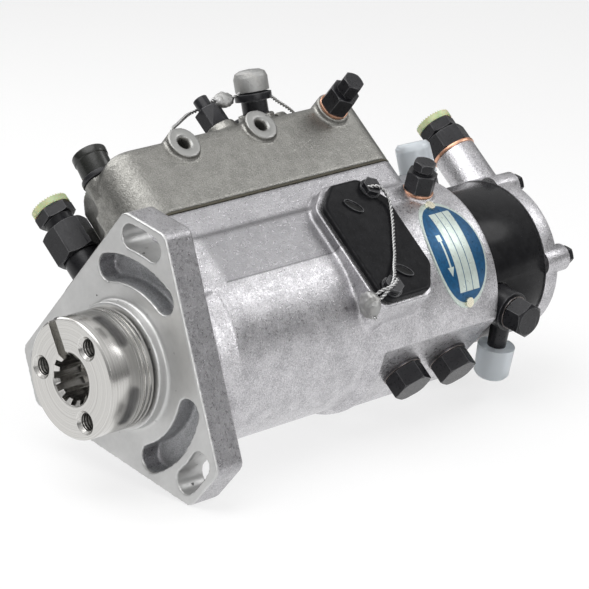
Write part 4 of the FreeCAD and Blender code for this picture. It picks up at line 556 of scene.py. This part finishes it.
def label_finish(name, blue, pale, middle_y, middle_turn, radius, half_long, half_wide):
    """Printed foil: a bare border, three blank fields along the plate and an arrow beside them."""
    recipe = Recipe(name, Metallic=0.35)
    x, y, z = recipe.parts()
    turn = recipe.math("SUBTRACT", recipe.math("ARCTAN2", z, x), math.radians(middle_turn))
    along = recipe.times(turn, radius)
    across = recipe.math("SUBTRACT", y, middle_y)

    def patch(low, high, left, right):
        return recipe.times(recipe.between(along, low, high, PRINT_EDGE),
                            recipe.between(across, left, right, PRINT_EDGE))
    round_out = recipe.span(recipe.math("DIVIDE", along, half_long), recipe.math("DIVIDE", across, half_wide))
    border = recipe.range(round_out, 0.950, 0.958)
    inside = recipe.range(round_out, 0.890, 0.900, 1.0, 0.0)
    fields = [patch(-0.0168, 0.0172, low, low + FIELD_WIDTH) for low in FIELD_STARTS]
    shaft = patch(-0.0060, 0.0078, -0.0072, -0.0063)
    tail = patch(0.0050, 0.0078, -0.0079, -0.0056)
    off_line = recipe.math("ABSOLUTE", recipe.math("ADD", across, ARROW_MIDDLE))
    slope = recipe.math("SUBTRACT", recipe.math("ADD", along, ARROW_TIP), recipe.times(off_line, 2.2))
    head = recipe.times(recipe.range(slope, 0.0, 0.0001), recipe.range(along, -0.0060, -0.0059, 1.0, 0.0))
    bare = recipe.highest(border, recipe.times(recipe.highest(*fields, shaft, tail, head), inside))
    fleck = recipe.range(recipe.noise(700, 4.0, 0.65), 0.35, 0.7)
    ground = recipe.mix(fleck, toned(blue, 0.75), toned(blue, 1.25))
    recipe.set("Base Color", recipe.mix(bare, ground, recipe.mix(fleck, toned(pale, 0.85), pale)))
    recipe.roughness(recipe.noise(500, 3.0), 0.26, 0.4)
    recipe.relief(recipe.math("ADD", bare, recipe.noise(1400, 2.0)), 0.00002)
    return recipe.material


FINISHES = {}


def make_finishes():
    """Every finish of the record's slots by slot, and those that only single nodes have."""
    tint = bpy.context.scene.pump_finishes
    black = tint.plate_black
    FINISHES.update({
        "cast_aluminium": cast_finish("cast_aluminium_skin", tint.casting, tint.casting_dark, 130, 0.00011, 0.31,
                                      metal=0.9, shade_zones=HOUSING_PAINTED_SHADE),
        "rough_pocket": cast_finish("rough_pocket_skin", tint.pocket, toned(tint.pocket, 0.6), 260, 0.00025, 0.45,
                                    edge_highlight_share=0.7),
        "cover_casting": cast_finish("cover_skin", tint.cover, tint.cover_dark, 240, 0.00012, 0.34, metal=0.9),
        "milled": milled_finish("milled_aluminium", (0.60, 0.60, 0.595)),
        # A darker copy of the milled finish for the cover's bosses: painted shade against the side lamp's reflection
        "shaded_boss_face": milled_finish("shaded_boss_face", (0.34, 0.34, 0.33)),
        "turned_steel": turned_finish("turned_hub_steel", tint.turned),
        "black_steel": black_finish("blackened_steel", tint.black, 0.3),
        # The gloss plate mirrors little light, so its grey edges stand in for its rim highlights: painted highlight
        # as well as wear
        "cover_plate_black": black_finish("gloss_black_paint", black, 0.22, metal=0.0, grain=0.00006, shine=0.05,
                                          wear_and_highlight=0.7),
        "bright_steel": metal_finish("bright_plated_steel", tint.bright, 0.27, metal=0.95),
        "inner_steel": metal_finish("ground_inner_steel", (0.5, 0.5, 0.5), 0.3),
        "blade_carbon": black_finish("blade_carbon", (0.10, 0.095, 0.09), 0.6, metal=0.0),
        "bronze": metal_finish("turned_bronze", (0.62, 0.45, 0.24), 0.34, stain=(0.3, 0.2, 0.1)),
        "copper": washer_finish("washer_metal", tint.copper, (0.08, 0.08, 0.085)),
        "seal_rubber": black_finish("seal_rubber", (0.006, 0.006, 0.006), 0.7, metal=0.0, wear_and_highlight=0.0),
        "gasket_fibre": fibre_finish("gasket_board", tint.gasket),
        "green_plastic": plastic_finish("plug_plastic", tint.plug, 0.42, clear=0.12, skin=0.35),
        "clear_plastic": clear_finish("cap_plastic", tint.cap),
        "black_plastic": plastic_finish("black_cap_plastic", (0.014, 0.015, 0.013), 0.26),
        "plate_blue": label_finish("data_plate_foil", tint.label_blue, tint.label_pale, **DATA_PLATE),
        "rivet_brass": metal_finish("rivet_brass", (0.80, 0.76, 0.60), 0.25, stain_share=0.1),
        "lead": metal_finish("crimped_lead", tint.lead, 0.42, metal=0.8, grain=0.0002),
        "wire": metal_finish("sealing_wire", tint.wire, 0.25, metal=0.9),
        "head_black": black_finish("head_enamel", black, 0.2, metal=0.0, grain=0.00002, shine=0.12, wear_and_highlight=0.25),
    })


# Nodes whose finish isn't the one of their slot
OWN_FINISH = {"stop_cup": "lead", "hydraulic_head": "head_black", "leakoff_connector": "black_steel",
              "throttle_shaft": "black_steel", "shutoff_shaft": "black_steel"}


# Pieces

class PUMP_OT_finishes(bpy.types.Operator):
    """Give every CAD node the finish of its slot and ease its sharp edges"""
    bl_idname = "pump.finishes"
    bl_label = "Finish the carried parts"

    def execute(self, context):
        make_finishes()
        width = context.scene.pump_sizes.edge
        for name, node in NODES.items():
            slot = node.data.materials[0].name.split(".")[0]
            finish = FINISHES.get(OWN_FINISH.get(name, slot))
            if finish is None:
                raise RuntimeError("no finish for the slot %s of %s" % (slot, name))
            node.data.materials.clear()
            node.data.materials.append(finish)
            add_modifier(node, "Merge", "WELD", merge_threshold=MERGE)
            add_modifier(node, "Edges", "BEVEL", width=width, segments=2, limit_method="ANGLE",
                         angle_limit=math.radians(38), use_clamp_overlap=True, harden_normals=False)
        return {"FINISHED"}


SKIN_FACES = 170000


def cast_skin(node, name, slot, worked, reshape):
    """A casting with soft edges: its CAD node rebuilt in small even steps, smoothed, and kept flat where worked."""
    piece = reshape(copy_of(node, name))
    modify(piece, "REMESH", mode="VOXEL", voxel_size=bpy.context.scene.pump_sizes.casting_step, adaptivity=0.0)
    group = piece.vertex_groups.new(name="cast")
    places = np.empty(len(piece.data.vertices) * 3)
    piece.data.vertices.foreach_get("co", places)
    soft = ~worked(*places.reshape(-1, 3).T)
    for chosen, weight in ((soft, 1.0), (~soft, 0.5)):
        group.add([int(i) for i in np.nonzero(chosen)[0]], weight, "REPLACE")
    modify(piece, "SMOOTH", factor=0.5, iterations=6, vertex_group="cast")
    modify(piece, "DECIMATE", ratio=min(1.0, SKIN_FACES / (2 * len(piece.data.polygons))))
    piece.vertex_groups.clear()
    choose(piece)
    bpy.ops.object.shade_smooth()
    return ride(piece, "housing", slot, node)


def side_wall(housing):
    """Adds the flat wall that leans out from the deck's rim to the barrel, beside the inspection cover."""
    wall = prism("side_wall", [(30, 27), (39.25, 27), (39.25, 90), (30, 90)], 1.0, 24.8)
    for vertex in wall.data.vertices:
        if vertex.co.z > 20 * MM:
            vertex.co.x = min(vertex.co.x, 36.3 * MM)
    choose(housing, wall)
    bpy.ops.object.join()
    return housing


def lower_corner(cover):
    """Lowers the shelf in the cover's front corner, and closes the casting under and behind it."""
    shelf = 47.5
    room = prism("corner_room", [(20.4, 10), (-8.05, 30.4), (-14.05, 41.9), (-40, 41.9), (-40, 10)], shelf, 58.5)
    modify(cover, "BOOLEAN", object=room, operation="DIFFERENCE", solver="EXACT")
    bpy.data.objects.remove(room)
    floor = prism("corner_floor", [(20, 17), (-6, 33.5), (-12, 44), (-33.5, 44), (-33, 27), (-29, 20), (-22, 17)],
                  43.0, shelf)
    wall = prism("corner_wall", [(20.6, 15.8), (25.0, 17.5), (-4.5, 34.0), (-10.5, 45.5), (-33.5, 45.5),
                                 (-33.5, 42.0), (-14, 42.0), (-7.9, 30.5)], 43.0, 55.0)
    choose(cover, floor, wall)
    bpy.ops.object.join()
    return cover


# Zones of the flange: reach from the drive axis in metres, half angle in degrees and depth in metres
SLOT_ZONE = (0.0445, 0.0556, 12.5, 0.0129)
POCKET_ZONE = (0.0305, 0.0425, 31, 0.0088)
FRONT_FACE = 0.0009
NECK_FOOT = (-0.019, 0.0275, 0.0474)


class PUMP_OT_castings(bpy.types.Operator):
    """Build the skins of the housing and the governor cover"""
    bl_idname = "pump.castings"
    bl_label = "Castings"

    def execute(self, context):
        housing = cast_skin("pump_housing", "housing_casting", "cast_aluminium",
                            lambda x, y, z: (y < 0.0012) | (z > 0.0362) | (y > 0.1602), side_wall)
        housing.data.materials.append(FINISHES["rough_pocket"])
        housing.data.materials.append(FINISHES["milled"])

        def within(zone, x, y, z):
            low, high, half, depth = zone
            turn = (math.degrees(math.atan2(z, x)) + 30) % 120 - 60
            return low < math.hypot(x, z) < high and abs(turn) < half and y < depth
        for face in housing.data.polygons:
            if face.center.y < FRONT_FACE or within(SLOT_ZONE, *face.center):
                face.material_index = 2
            elif within(POCKET_ZONE, *face.center):
                face.material_index = 1
        cover = cast_skin("governor_cover", "cover_casting_skin", "cover_casting",
                          lambda x, y, z: (z < 0.0388) | ((x > 0.0362) & (z > 0.056)), lower_corner)
        # The bosses' faces take the darker copy of the milled finish: painted shade
        cover.data.materials.append(FINISHES["shaded_boss_face"])
        for face in cover.data.polygons:
            if face.center.x > 0.0372 and face.center.y < 0.105 and face.normal.x > 0.7:
                face.material_index = 1
        neck = drum("adaptor_neck", 7.6 * MM, 9.5 * MM)
        edit(neck)
        pick(neck, upward)
        inset(0.8, 0.2)
        end_edit()
        soften(neck, 0.4, 3, 0.6)
        set_down(neck, Matrix.Translation(NECK_FOOT))
        ride(neck, "housing", "black_steel")
        return {"FINISHED"}


LEAKOFF_FOOT = (0.019, 0.0225, 0.0662)
LEAKOFF_TILT = -8
CAP_STEPS = ((1.055, 0.25), (1.01, 2.6), (0.985, 0.4), (0.90, 0.25), (0.93, -0.5))


class PUMP_OT_leakoff(bpy.types.Operator):
    """Model the leak off connector's collar and its ribbed plastic cap"""
    bl_idname = "pump.leakoff"
    bl_label = "Leak off cap"

    def execute(self, context):
        axis = Matrix.Translation(LEAKOFF_FOOT) @ Matrix.Rotation(math.radians(LEAKOFF_TILT), 4, "X")
        collar = drum("leakoff_collar", 7.5 * MM, 2.2 * MM, 64, low=0.1 * MM)
        soften(collar, 0.5, 3, 0.6)
        set_down(collar, axis)
        ride(collar, "housing", "black_steel", "leakoff_connector")
        cap = drum("leakoff_cap", 6.5 * MM, 7.4 * MM, 64, low=2.4 * MM)
        edit(cap)
        for grow, rise in CAP_STEPS:
            pick(cap, lambda centre, normal: upward(centre, normal) and centre.xy.length < 1e-5)
            extrude(0, 0, rise)
            bpy.ops.transform.resize(value=(grow, grow, 1), center_override=(0, 0, 0))
        end_edit()
        soften(cap, 0.18, 2, 0.5)
        set_down(cap, axis)
        ride(cap, "housing", "black_plastic", "leakoff_cap")
        return {"FINISHED"}


PLUG_PLACES = ((-0.019, 0.0275, 0.0795), (0.008, 0.211, 0.0609))


class PUMP_OT_plugs(bpy.types.Operator):
    """Model the serrated transit plugs of the two adaptors"""
    bl_idname = "pump.plugs"
    bl_label = "Transit plugs"

    def execute(self, context):
        sizes = context.scene.pump_sizes
        sides = sizes.plug_notches * 2
        middle = sizes.plug_height / 2
        rim = drum("transit_plug", sizes.plug_radius, sizes.plug_height, sides)
        edit(rim)
        step = 2 * math.pi / sides

        def groove(centre, normal):
            turn = math.atan2(normal.y, normal.x) - step / 2
            return abs(normal.z) < 0.1 and round(turn / step) % 2 == 0
        pick(rim, groove)
        bpy.ops.mesh.inset(thickness=0.12 * MM, use_individual=True)
        bpy.ops.mesh.extrude_region_move()
        pick(rim, lambda centre, normal: groove(centre, normal) and abs(centre.z - middle) < 0.1 * MM)
        bpy.ops.transform.resize(value=(0.91, 0.91, 1.0), center_override=(0, 0, middle))
        pick(rim, upward)
        for width, rise in ((0.9, 0.35), (2.2, 0.2), (0.4, -0.5)):
            inset(width, rise)
        pick(rim, lambda centre, normal: normal.z < -0.9)
        inset(4.1)
        extrude(0, 0, -5)
        end_edit()
        soften(rim, 0.1, 1, 0.9, 40)
        second = rim.copy()
        second.data = rim.data.copy()
        second.name = "transit_plug_inlet"
        context.scene.collection.objects.link(second)
        for plug, place in zip((rim, second), PLUG_PLACES):
            set_down(plug, Matrix.Translation(place))
            ride(plug, "housing", "green_plastic", "transit_plugs")
        return {"FINISHED"}


STRANDS = 2


def along_route(name, route):
    """Close points on a smooth curve through the route, and how far along it each one lies."""
    line = bpy.data.curves.new(name + "_route", "CURVE")
    line.dimensions = "3D"
    spline = line.splines.new("NURBS")
    spline.points.add(len(route) - 1)
    for point, place in zip(spline.points, route):
        point.co = (*place, 1.0)
    spline.order_u = 3
    spline.use_endpoint_u = True
    line.resolution_u = 24
    holder = add_object(name + "_route", line)
    bpy.context.view_layer.update()
    path = bpy.data.meshes.new_from_object(holder.evaluated_get(bpy.context.evaluated_depsgraph_get()))
    spots = [v.co.copy() for v in path.vertices]
    bpy.data.objects.remove(holder)
    total = [0.0]
    for first, last in zip(spots, spots[1:]):
        total.append(total[-1] + (last - first).length)
    return spots, total


def twisted_wire(name, route, radius, pitch):
    """Two strands wound round a smooth route through the given points."""
    spots, total = along_route(name, route)
    count = max(12, int(total[-1] / pitch * 10))
    made = []
    for strand in range(STRANDS):
        curve = bpy.data.curves.new("%s_%d" % (name, strand), "CURVE")
        curve.dimensions = "3D"
        curve.bevel_depth = radius
        curve.bevel_resolution = 2
        curve.use_fill_caps = True
        wound = curve.splines.new("POLY")
        wound.points.add(count)
        side = Vector((0.3, 0.2, 1)).normalized()
        for index in range(count + 1):
            want = total[-1] * index / count
            k = min(len(total) - 2, bisect_right(total, want) - 1)
            share = (want - total[k]) / max(1e-9, total[k + 1] - total[k])
            ahead = (spots[k + 1] - spots[k]).normalized()
            side = (side - ahead * side.dot(ahead)).normalized()
            turn = 2 * math.pi * (want / pitch + strand / STRANDS)
            off = (side * math.cos(turn) + ahead.cross(side) * math.sin(turn)) * radius * 1.02
            wound.points[index].co = (*(spots[k].lerp(spots[k + 1], share) + off), 1.0)
        made.append(add_object("%s_%d" % (name, strand), curve))
    choose(*made)
    bpy.ops.object.convert(target="MESH")
    bpy.ops.object.join()
    piece = named(name)
    smooth(piece, 60)
    return piece


# Points on each wire's way, in millimetres
WIRES = {
    "sealing_wire_idle": [(37.0, 49.5, 69.5), (36.5, 51.5, 72.0), (33.0, 58.0, 75.0), (28.0, 68.0, 80.0),
                          (22.5, 77.0, 84.5), (22.3, 83.5, 85.6), (25.5, 87.5, 85.4), (29.5, 87.0, 84.6),
                          (30.6, 84.0, 83.8), (30.8, 87.0, 83.0), (30.4, 90.0, 82.9)],
    "sealing_wire_stop": [(29.8, 90.5, 82.7), (31.5, 95.0, 82.5), (34.2, 99.5, 82.5), (36.6, 103.0, 81.8),
                          (36.2, 107.0, 78.4), (34.0, 110.5, 76.2), (32.0, 114.0, 75.2), (30.5, 117.5, 73.6),
                          (28.5, 121.0, 72.2), (26.5, 123.2, 71.4)],
    "sealing_wire_cover": [(49.7, 110.2, 20.2), (50.6, 112.8, 19.6), (50.4, 115.9, 18.2), (48.8, 117.6, 13.8),
                           (47.7, 115.8, 8.8), (47.5, 111.9, 2.3), (47.5, 107.4, -4.0), (47.6, 103.1, -10.4),
                           (48.6, 98.6, -14.6), (50.4, 94.8, -18.6), (50.4, 91.2, -22.0), (48.2, 87.4, -24.2),
                           (44.8, 84.6, -24.8), (41.6, 83.6, -24.6)],
    "sealing_wire_cover_end": [(50.5, 94.4, -21.0), (50.9, 90.6, -23.6), (48.4, 86.6, -22.4), (44.4, 83.8, -22.6),
                               (41.0, 82.8, -23.6), (39.8, 82.2, -27.4), (41.2, 82.6, -30.4)],
}


class PUMP_OT_wires(bpy.types.Operator):
    """Wind the twisted sealing wires between the screws and their seals"""
    bl_idname = "pump.wires"
    bl_label = "Sealing wires"

    def execute(self, context):
        sizes = context.scene.pump_sizes
        for name, route in WIRES.items():
            piece = twisted_wire(name, [mm(*spot) for spot in route], sizes.wire_radius, sizes.wire_pitch)
            ride(piece, "housing", "lead", finish="wire")
        return {"FINISHED"}


# Each seal's radius and place in millimetres, its scale, where it lies in the clouds, and the node it stands for
SEALS = {
    "lead_seal_cover": (5.3, (41.8, 83.2, -24.0), (0.98, 0.5, 0.98), 0.1, ["lead_seal"]),
    "lead_seal_idle": (3.9, (30.3, 90.2, 82.7), (0.6, 1.2, 0.85), 0.4, []),
}


def crushed_seal(name, radius, place, flat, seed):
    """A pellet of lead crimped flat by the sealing pliers."""
    nothing_selected()
    bpy.ops.mesh.primitive_ico_sphere_add(subdivisions=4, radius=radius, location=(0, 0, 0))
    piece = named(name)
    edit(piece, "VERT")
    bpy.ops.transform.resize(value=flat)
    end_edit()
    cloud = bpy.data.textures.new(name, "CLOUDS")
    cloud.noise_scale = radius * 0.55
    cloud.noise_depth = 3
    piece.location = (seed, seed * 0.37, 0)
    modify(piece, "DISPLACE", texture=cloud, strength=radius * 0.5, mid_level=0.5, texture_coords="GLOBAL")
    smooth(piece, 45)
    piece.location = (0, 0, 0)
    set_down(piece, Matrix.Translation(mm(*place)))
    return piece


class PUMP_OT_seals(bpy.types.Operator):
    """Crimp the lead seals on their wires"""
    bl_idname = "pump.seals"
    bl_label = "Lead seals"

    def execute(self, context):
        for name, (radius, place, flat, seed, nodes) in SEALS.items():
            ride(crushed_seal(name, radius * MM, place, flat, seed), "housing", "lead", *nodes)
        return {"FINISHED"}


# Each louvre's place in Y and Z in millimetres, and its turn in degrees
LOUVRES = ((100.4, 15.3, -47.0), (103.7, -16.4, -41.0))


def louvre(name, along, height, turn, slit, face):
    """A pressed slit with a raised lip, on the plate's face, its floor near black as painted shade in the opening.
    """
    lip = drum(name, 1.0 * MM, 1.1 * MM, 40, low=-0.3 * MM)
    edit(lip)
    bpy.ops.transform.resize(value=(slit / 2 / MM, 2.1, 1.0))
    pick(lip, upward)
    inset(0.4)
    extrude(0, 0, -0.75)
    end_edit()
    soften(lip, 0.14, 2, 0.8, 35)
    way = math.radians(turn)
    across = Vector((0, math.cos(way), math.sin(way)))
    out = Vector((1, 0, 0))
    lip.data.materials.append(FINISHES["black_steel"])
    lip.data.materials.append(FINISHES["seal_rubber"])
    # The floor of the slit takes the near-black rubber finish: painted shade in the opening
    for part in lip.data.polygons:
        part.material_index = int(upward(part.center, part.normal) and len(part.vertices) > 8)
    set_down(lip, frame_at((face, along * MM, height * MM), across, out.cross(across), out))
    return lip


def outline_of(node):
    """Corners of the convex outline of a node in Y and Z, anticlockwise seen from +X."""
    points = sorted({(round(v.co.y, 5), round(v.co.z, 5)) for v in NODES[node].data.vertices})

    def side(row):
        chain = []
        for spot in row:
            while len(chain) > 1 and ((chain[-1][0] - chain[-2][0]) * (spot[1] - chain[-2][1])
                                      - (chain[-1][1] - chain[-2][1]) * (spot[0] - chain[-2][0])) < 1e-10:
                chain.pop()
            chain.append(spot)
        return chain[:-1]
    return side(points) + side(points[::-1])


def rounded_corners(corners, radius, steps=6):
    """The convex outline with every corner rounded: its long sides moved in by the radius, then back out."""
    sides = []
    for (y1, z1), (y2, z2) in zip(corners, corners[1:] + corners[:1]):
        span = math.hypot(y2 - y1, z2 - z1)
        if span > 0.003:
            sides.append(((y2 - y1) / span, (z2 - z1) / span, y1, z1))
    rounded = []
    for (ay, az, py, pz), (by, bz, qy, qz) in zip(sides, sides[1:] + sides[:1]):
        py, pz, qy, qz = py - az * radius, pz + ay * radius, qy - bz * radius, qz + by * radius
        turn = ay * bz - az * by
        reach = ((qy - py) * bz - (qz - pz) * by) / turn
        cy, cz = py + ay * reach, pz + az * reach
        first, sweep = math.atan2(-ay, az), math.asin(turn)
        for step in range(steps + 1):
            angle = first + sweep * step / steps
            rounded.append((cy + radius * math.cos(angle), cz + radius * math.sin(angle)))
    return rounded


# The plate's back, front face and middle in metres, and the steps of its raised rim: rise in millimetres, then
# the scale in Y and Z
PLATE_BACK = 0.0441
PLATE_FACE = 0.0467 - 0.00018
PLATE_MIDDLE = (0, 0.1031, -0.0001)
PLATE_STEPS = ((1.9, 1, 1), (0.4, 0.988, 0.993), (0.22, 0.975, 0.985), (0.08, 0.965, 0.978), (-0.18, 0.93, 0.955))


class PUMP_OT_inspection_plate(bpy.types.Operator):
    """Model the pressed inspection cover with its raised rim and louvres"""
    bl_idname = "pump.inspection_plate"
    bl_label = "Inspection cover"

    def execute(self, context):
        outline = rounded_corners(outline_of("inspection_cover"), 5.0 * MM)
        piece = flat_sheet("inspection_plate", [(PLATE_BACK, y, z) for y, z in outline])
        for rise, grow_y, grow_z in PLATE_STEPS:
            extrude(rise, 0, 0)
            bpy.ops.transform.resize(value=(1, grow_y, grow_z), center_override=PLATE_MIDDLE)
        close_up()
        soften(piece, 0.15, 2, math.radians(14), 30)
        ride(piece, "housing", "cover_plate_black", "inspection_cover")
        slit = context.scene.pump_sizes.slit_length
        for number, spot in enumerate(LOUVRES, 1):
            lip = louvre("inspection_louvre_%d" % number, *spot, slit, PLATE_FACE)
            ride(lip, "housing", "cover_plate_black", painted=True)
        return {"FINISHED"}


# Studio

RIGHT = Vector((0.4703, 0.7126, -0.5206))
UP = Vector((0.5696, 0.2055, 0.7958))
BACK = Vector((0.6741, -0.6708, -0.3093))
CAMERA_SPOT = (0.8102, -0.7120, -0.3638)
FLOOR = Vector((0.742, 0.0, 0.670)).normalized()
MIDDLE = Vector((0.0, 0.095, 0.005))
WHITE = (1, 1, 1, 1)
# The tent that polished faces mirror: height towards the floor's normal from and to, then its strength there
TENT = {"From Min": 0.02, "From Max": 0.66, "To Min": 0.12, "To Max": 0.95}


class PUMP_OT_stage(bpy.types.Operator):
    """Set the camera, the lamps, the white room and the tilted floor"""
    bl_idname = "pump.stage"
    bl_label = "Studio"

    def execute(self, context):
        scene = context.scene
        studio = scene.pump_studio
        scene.view_settings.view_transform = "Standard"
        lens = bpy.data.cameras.new("camera")
        lens.lens = studio.lens
        lens.sensor_width = 36
        lens.clip_start, lens.clip_end = 0.01, 20
        camera = add_object("camera", lens)
        camera.matrix_world = frame_at(CAMERA_SPOT, RIGHT, UP, BACK)
        scene.camera = camera
        for name, power, size, way in (
                ("key_lamp", studio.key, 0.75, FLOOR * 0.62 + BACK * 0.12 - RIGHT * 0.18),
                ("front_lamp", studio.front, 0.55, BACK * 0.72 + RIGHT * 0.35 + UP * 0.10),
                ("far_lamp", studio.rim, 0.5, BACK * -0.30 + UP * 0.55 - RIGHT * 0.45),
                ("side_lamp", studio.side, 0.34, Vector((0.58, 0.53, 0.088)))):
            self.lamp(name, power, size, way)
        self.room(studio.room)
        self.floor(studio.shadow)
        return {"FINISHED"}

    def lamp(self, name, power, size, way):
        """A round lamp that looks at the pump's middle and stands off it by the given way."""
        data = bpy.data.lights.new(name, "AREA")
        data.energy = power
        data.shape = "DISK"
        data.size = size
        lamp = add_object(name, data)
        lamp.matrix_world = Matrix.Translation(MIDDLE + way) @ way.to_track_quat("Z", "Y").to_matrix().to_4x4()
        lamp.visible_camera = False

    def blend(self, tree, factor, first, second):
        return add_node(tree, "ShaderNodeMixShader", {0: factor, 1: first, 2: second}).outputs[0]

    def room(self, strength):
        """Even light on the pump, the tent in what it mirrors, and plain white behind it."""
        world = bpy.data.worlds.new("white_room")
        bpy.context.scene.world = world
        tree = fresh_tree(world)
        seen = add_node(tree, "ShaderNodeLightPath").outputs
        way = add_node(tree, "ShaderNodeTexCoord").outputs["Generated"]
        height = add_node(tree, "ShaderNodeVectorMath", {0: way, 1: FLOOR}, operation="DOT_PRODUCT").outputs["Value"]
        size = add_node(tree, "ShaderNodeMath", {0: height}, operation="ABSOLUTE").outputs[0]
        shade = add_node(tree, "ShaderNodeMapRange", {"Value": size, **TENT}).outputs["Result"]
        even, tent, white = (add_node(tree, "ShaderNodeBackground", inputs).outputs[0]
                             for inputs in ({"Strength": strength}, {"Strength": shade}, {"Color": WHITE}))
        direct = add_node(tree, "ShaderNodeMath", {0: seen["Is Camera Ray"], 1: seen["Is Transmission Ray"]},
                          operation="MAXIMUM").outputs[0]
        glossy = self.blend(tree, seen["Is Glossy Ray"], even, tent)
        add_node(tree, "ShaderNodeOutputWorld", {"Surface": self.blend(tree, direct, glossy, white)})

    def floor(self, shadow):
        """A white sheet under the pump that shows a part of its shadow, and nothing from below."""
        lowest = min(vertex.co.dot(FLOOR) for node in NODES.values() for vertex in node.data.vertices)
        nothing_selected()
        bpy.ops.mesh.primitive_grid_add(x_subdivisions=8, y_subdivisions=8, size=3.0)
        floor = named("floor")
        spot = MIDDLE + FLOOR * (lowest - MIDDLE.dot(FLOOR) - 0.0002)
        floor.matrix_world = Matrix.Translation(spot) @ FLOOR.to_track_quat("Z", "Y").to_matrix().to_4x4()
        set_down(floor)
        material = bpy.data.materials.new("studio_floor")
        tree = fresh_tree(material)
        seen = add_node(tree, "ShaderNodeLightPath").outputs
        paint = add_node(tree, "ShaderNodeBsdfDiffuse", {"Color": WHITE}).outputs[0]
        glow = add_node(tree, "ShaderNodeEmission", {"Color": WHITE}).outputs[0]
        through = add_node(tree, "ShaderNodeBsdfTransparent").outputs[0]
        share = add_node(tree, "ShaderNodeMath", {0: seen["Is Camera Ray"], 1: 1.0 - shadow},
                         operation="MULTIPLY").outputs[0]
        either = add_node(tree, "ShaderNodeMath", {0: share, 1: seen["Is Glossy Ray"]},
                          operation="MAXIMUM").outputs[0]
        below = add_node(tree, "ShaderNodeNewGeometry").outputs["Backfacing"]
        sheet = self.blend(tree, below, self.blend(tree, either, paint, glow), through)
        add_node(tree, "ShaderNodeOutputMaterial", {"Surface": sheet})
        floor.data.materials.append(material)


OPERATORS = (PUMP_OT_finishes, PUMP_OT_castings, PUMP_OT_leakoff, PUMP_OT_plugs, PUMP_OT_wires, PUMP_OT_seals,
             PUMP_OT_inspection_plate, PUMP_OT_stage)
GROUPS = (PumpFinishes, PumpSizes, PumpStudio)


class PUMP_PT_panel(bpy.types.Panel):
    """Buttons for the pump's pieces, in the order in which they are made"""
    bl_idname = "PUMP_PT_panel"
    bl_label = "Injection pump"
    bl_space_type = "VIEW_3D"
    bl_region_type = "UI"
    bl_category = "Pump"

    def draw(self, context):
        for operator in OPERATORS:
            self.layout.operator(operator.bl_idname)
        for group in ("pump_finishes", "pump_sizes", "pump_studio"):
            box = self.layout.box()
            values = getattr(context.scene, group)
            for name in values.__annotations__:
                box.prop(values, name)


def register():
    for made in (*GROUPS, *OPERATORS, PUMP_PT_panel):
        bpy.utils.register_class(made)
    bpy.types.Scene.pump_finishes = bpy.props.PointerProperty(type=PumpFinishes)
    bpy.types.Scene.pump_sizes = bpy.props.PointerProperty(type=PumpSizes)
    bpy.types.Scene.pump_studio = bpy.props.PointerProperty(type=PumpStudio)


def unregister():
    for name in ("pump_studio", "pump_sizes", "pump_finishes"):
        delattr(bpy.types.Scene, name)
    for made in (PUMP_PT_panel, *reversed(OPERATORS), *reversed(GROUPS)):
        bpy.utils.unregister_class(made)


def main():
    register()
    for operator in OPERATORS:
        group, action = operator.bl_idname.split(".")
        getattr(getattr(bpy.ops, group), action)()


if __name__ == "__main__":
    main()
